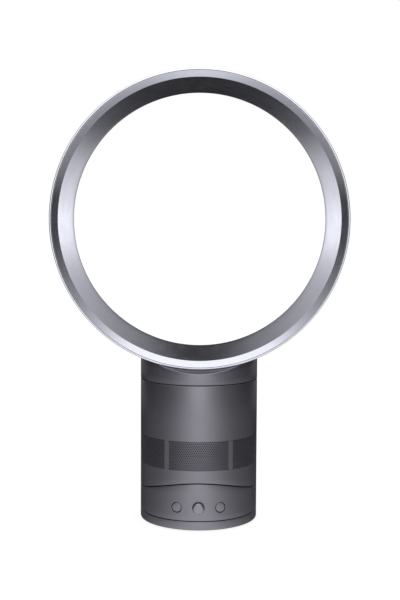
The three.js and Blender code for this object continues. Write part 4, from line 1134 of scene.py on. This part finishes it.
def softbox(name, size, centre, target, radiance):
    """A rectangular lamp of even radiance, turned to its target."""
    lamp = bpy.data.lights.new(name, "AREA")
    lamp.shape = "RECTANGLE"
    lamp.size, lamp.size_y = size
    lamp.energy = radiance * math.pi * size[0] * size[1]
    made = bpy.data.objects.new(name, lamp)
    bpy.context.scene.collection.objects.link(made)
    made.location = centre
    made.rotation_mode = "QUATERNION"
    made.rotation_quaternion = (Vector(centre) - Vector(target)).to_track_quat("Z", "Y")
    made.visible_camera = False


softbox("top_light", LAMP_SIZE, LAMP_PLACE, LAMP_AIM, LAMP_RADIANCE)

# The world lights the object evenly, and is white where it is seen, reflected or looked through.
world = bpy.data.worlds.new("studio")
bpy.context.scene.world = world
world.use_nodes = True
air = world.node_tree
air.nodes.clear()
lighting = air.nodes.new("ShaderNodeBackground")
backdrop = air.nodes.new("ShaderNodeBackground")
socket(lighting, "Color", (1, 1, 1, 1))
socket(lighting, "Strength", WORLD_LIGHT)
socket(backdrop, "Color", (1, 1, 1, 1))
socket(backdrop, "Strength", 1)
path = air.nodes.new("ShaderNodeLightPath")
shown = path.outputs["Is Camera Ray"]
for ray in ("Is Glossy Ray", "Is Transmission Ray"):
    either = air.nodes.new("ShaderNodeMath")
    either.operation = "MAXIMUM"
    air.links.new(shown, either.inputs[0])
    air.links.new(path.outputs[ray], either.inputs[1])
    shown = either.outputs[0]
choice = air.nodes.new("ShaderNodeMixShader")
air.links.new(shown, choice.inputs["Fac"])
air.links.new(lighting.outputs[0], choice.inputs[1])
air.links.new(backdrop.outputs[0], choice.inputs[2])
air.links.new(choice.outputs[0], air.nodes.new("ShaderNodeOutputWorld").inputs["Surface"])

# ---------------------------------------------------------------- camera
# Fitted to the outline of the loop, the seams and the controls in a frame of 400 x 600 pixels.
FRAME_WIDTH, FRAME_HEIGHT = 400, 600
SENSOR_WIDTH = 36
FOCAL_PIXELS = 1095.6
TILT_DOWN = 0.0693
DISTANCE = 1348.68
CAMERA_HEIGHT = 371.31
PRINCIPAL_X, PRINCIPAL_Y = 199.35, 294.15
ROLL = 0.0044

lens = bpy.data.cameras.new("camera")
lens.sensor_width = SENSOR_WIDTH
lens.lens = FOCAL_PIXELS / FRAME_HEIGHT * SENSOR_WIDTH
lens.shift_x = (FRAME_WIDTH / 2 - PRINCIPAL_X) / FRAME_HEIGHT
lens.shift_y = (PRINCIPAL_Y - FRAME_HEIGHT / 2) / FRAME_HEIGHT
lens.clip_end = 100
camera = bpy.data.objects.new("camera", lens)
bpy.context.scene.collection.objects.link(camera)
camera.location = Vector((0, -DISTANCE, CAMERA_HEIGHT)) * MM
aim = Euler((math.pi / 2 - TILT_DOWN, 0, 0)).to_matrix() @ Matrix.Rotation(ROLL, 3, "Z")
camera.rotation_euler = aim.to_euler()
bpy.context.scene.camera = camera
bpy.context.scene.view_settings.view_transform = "Standard"
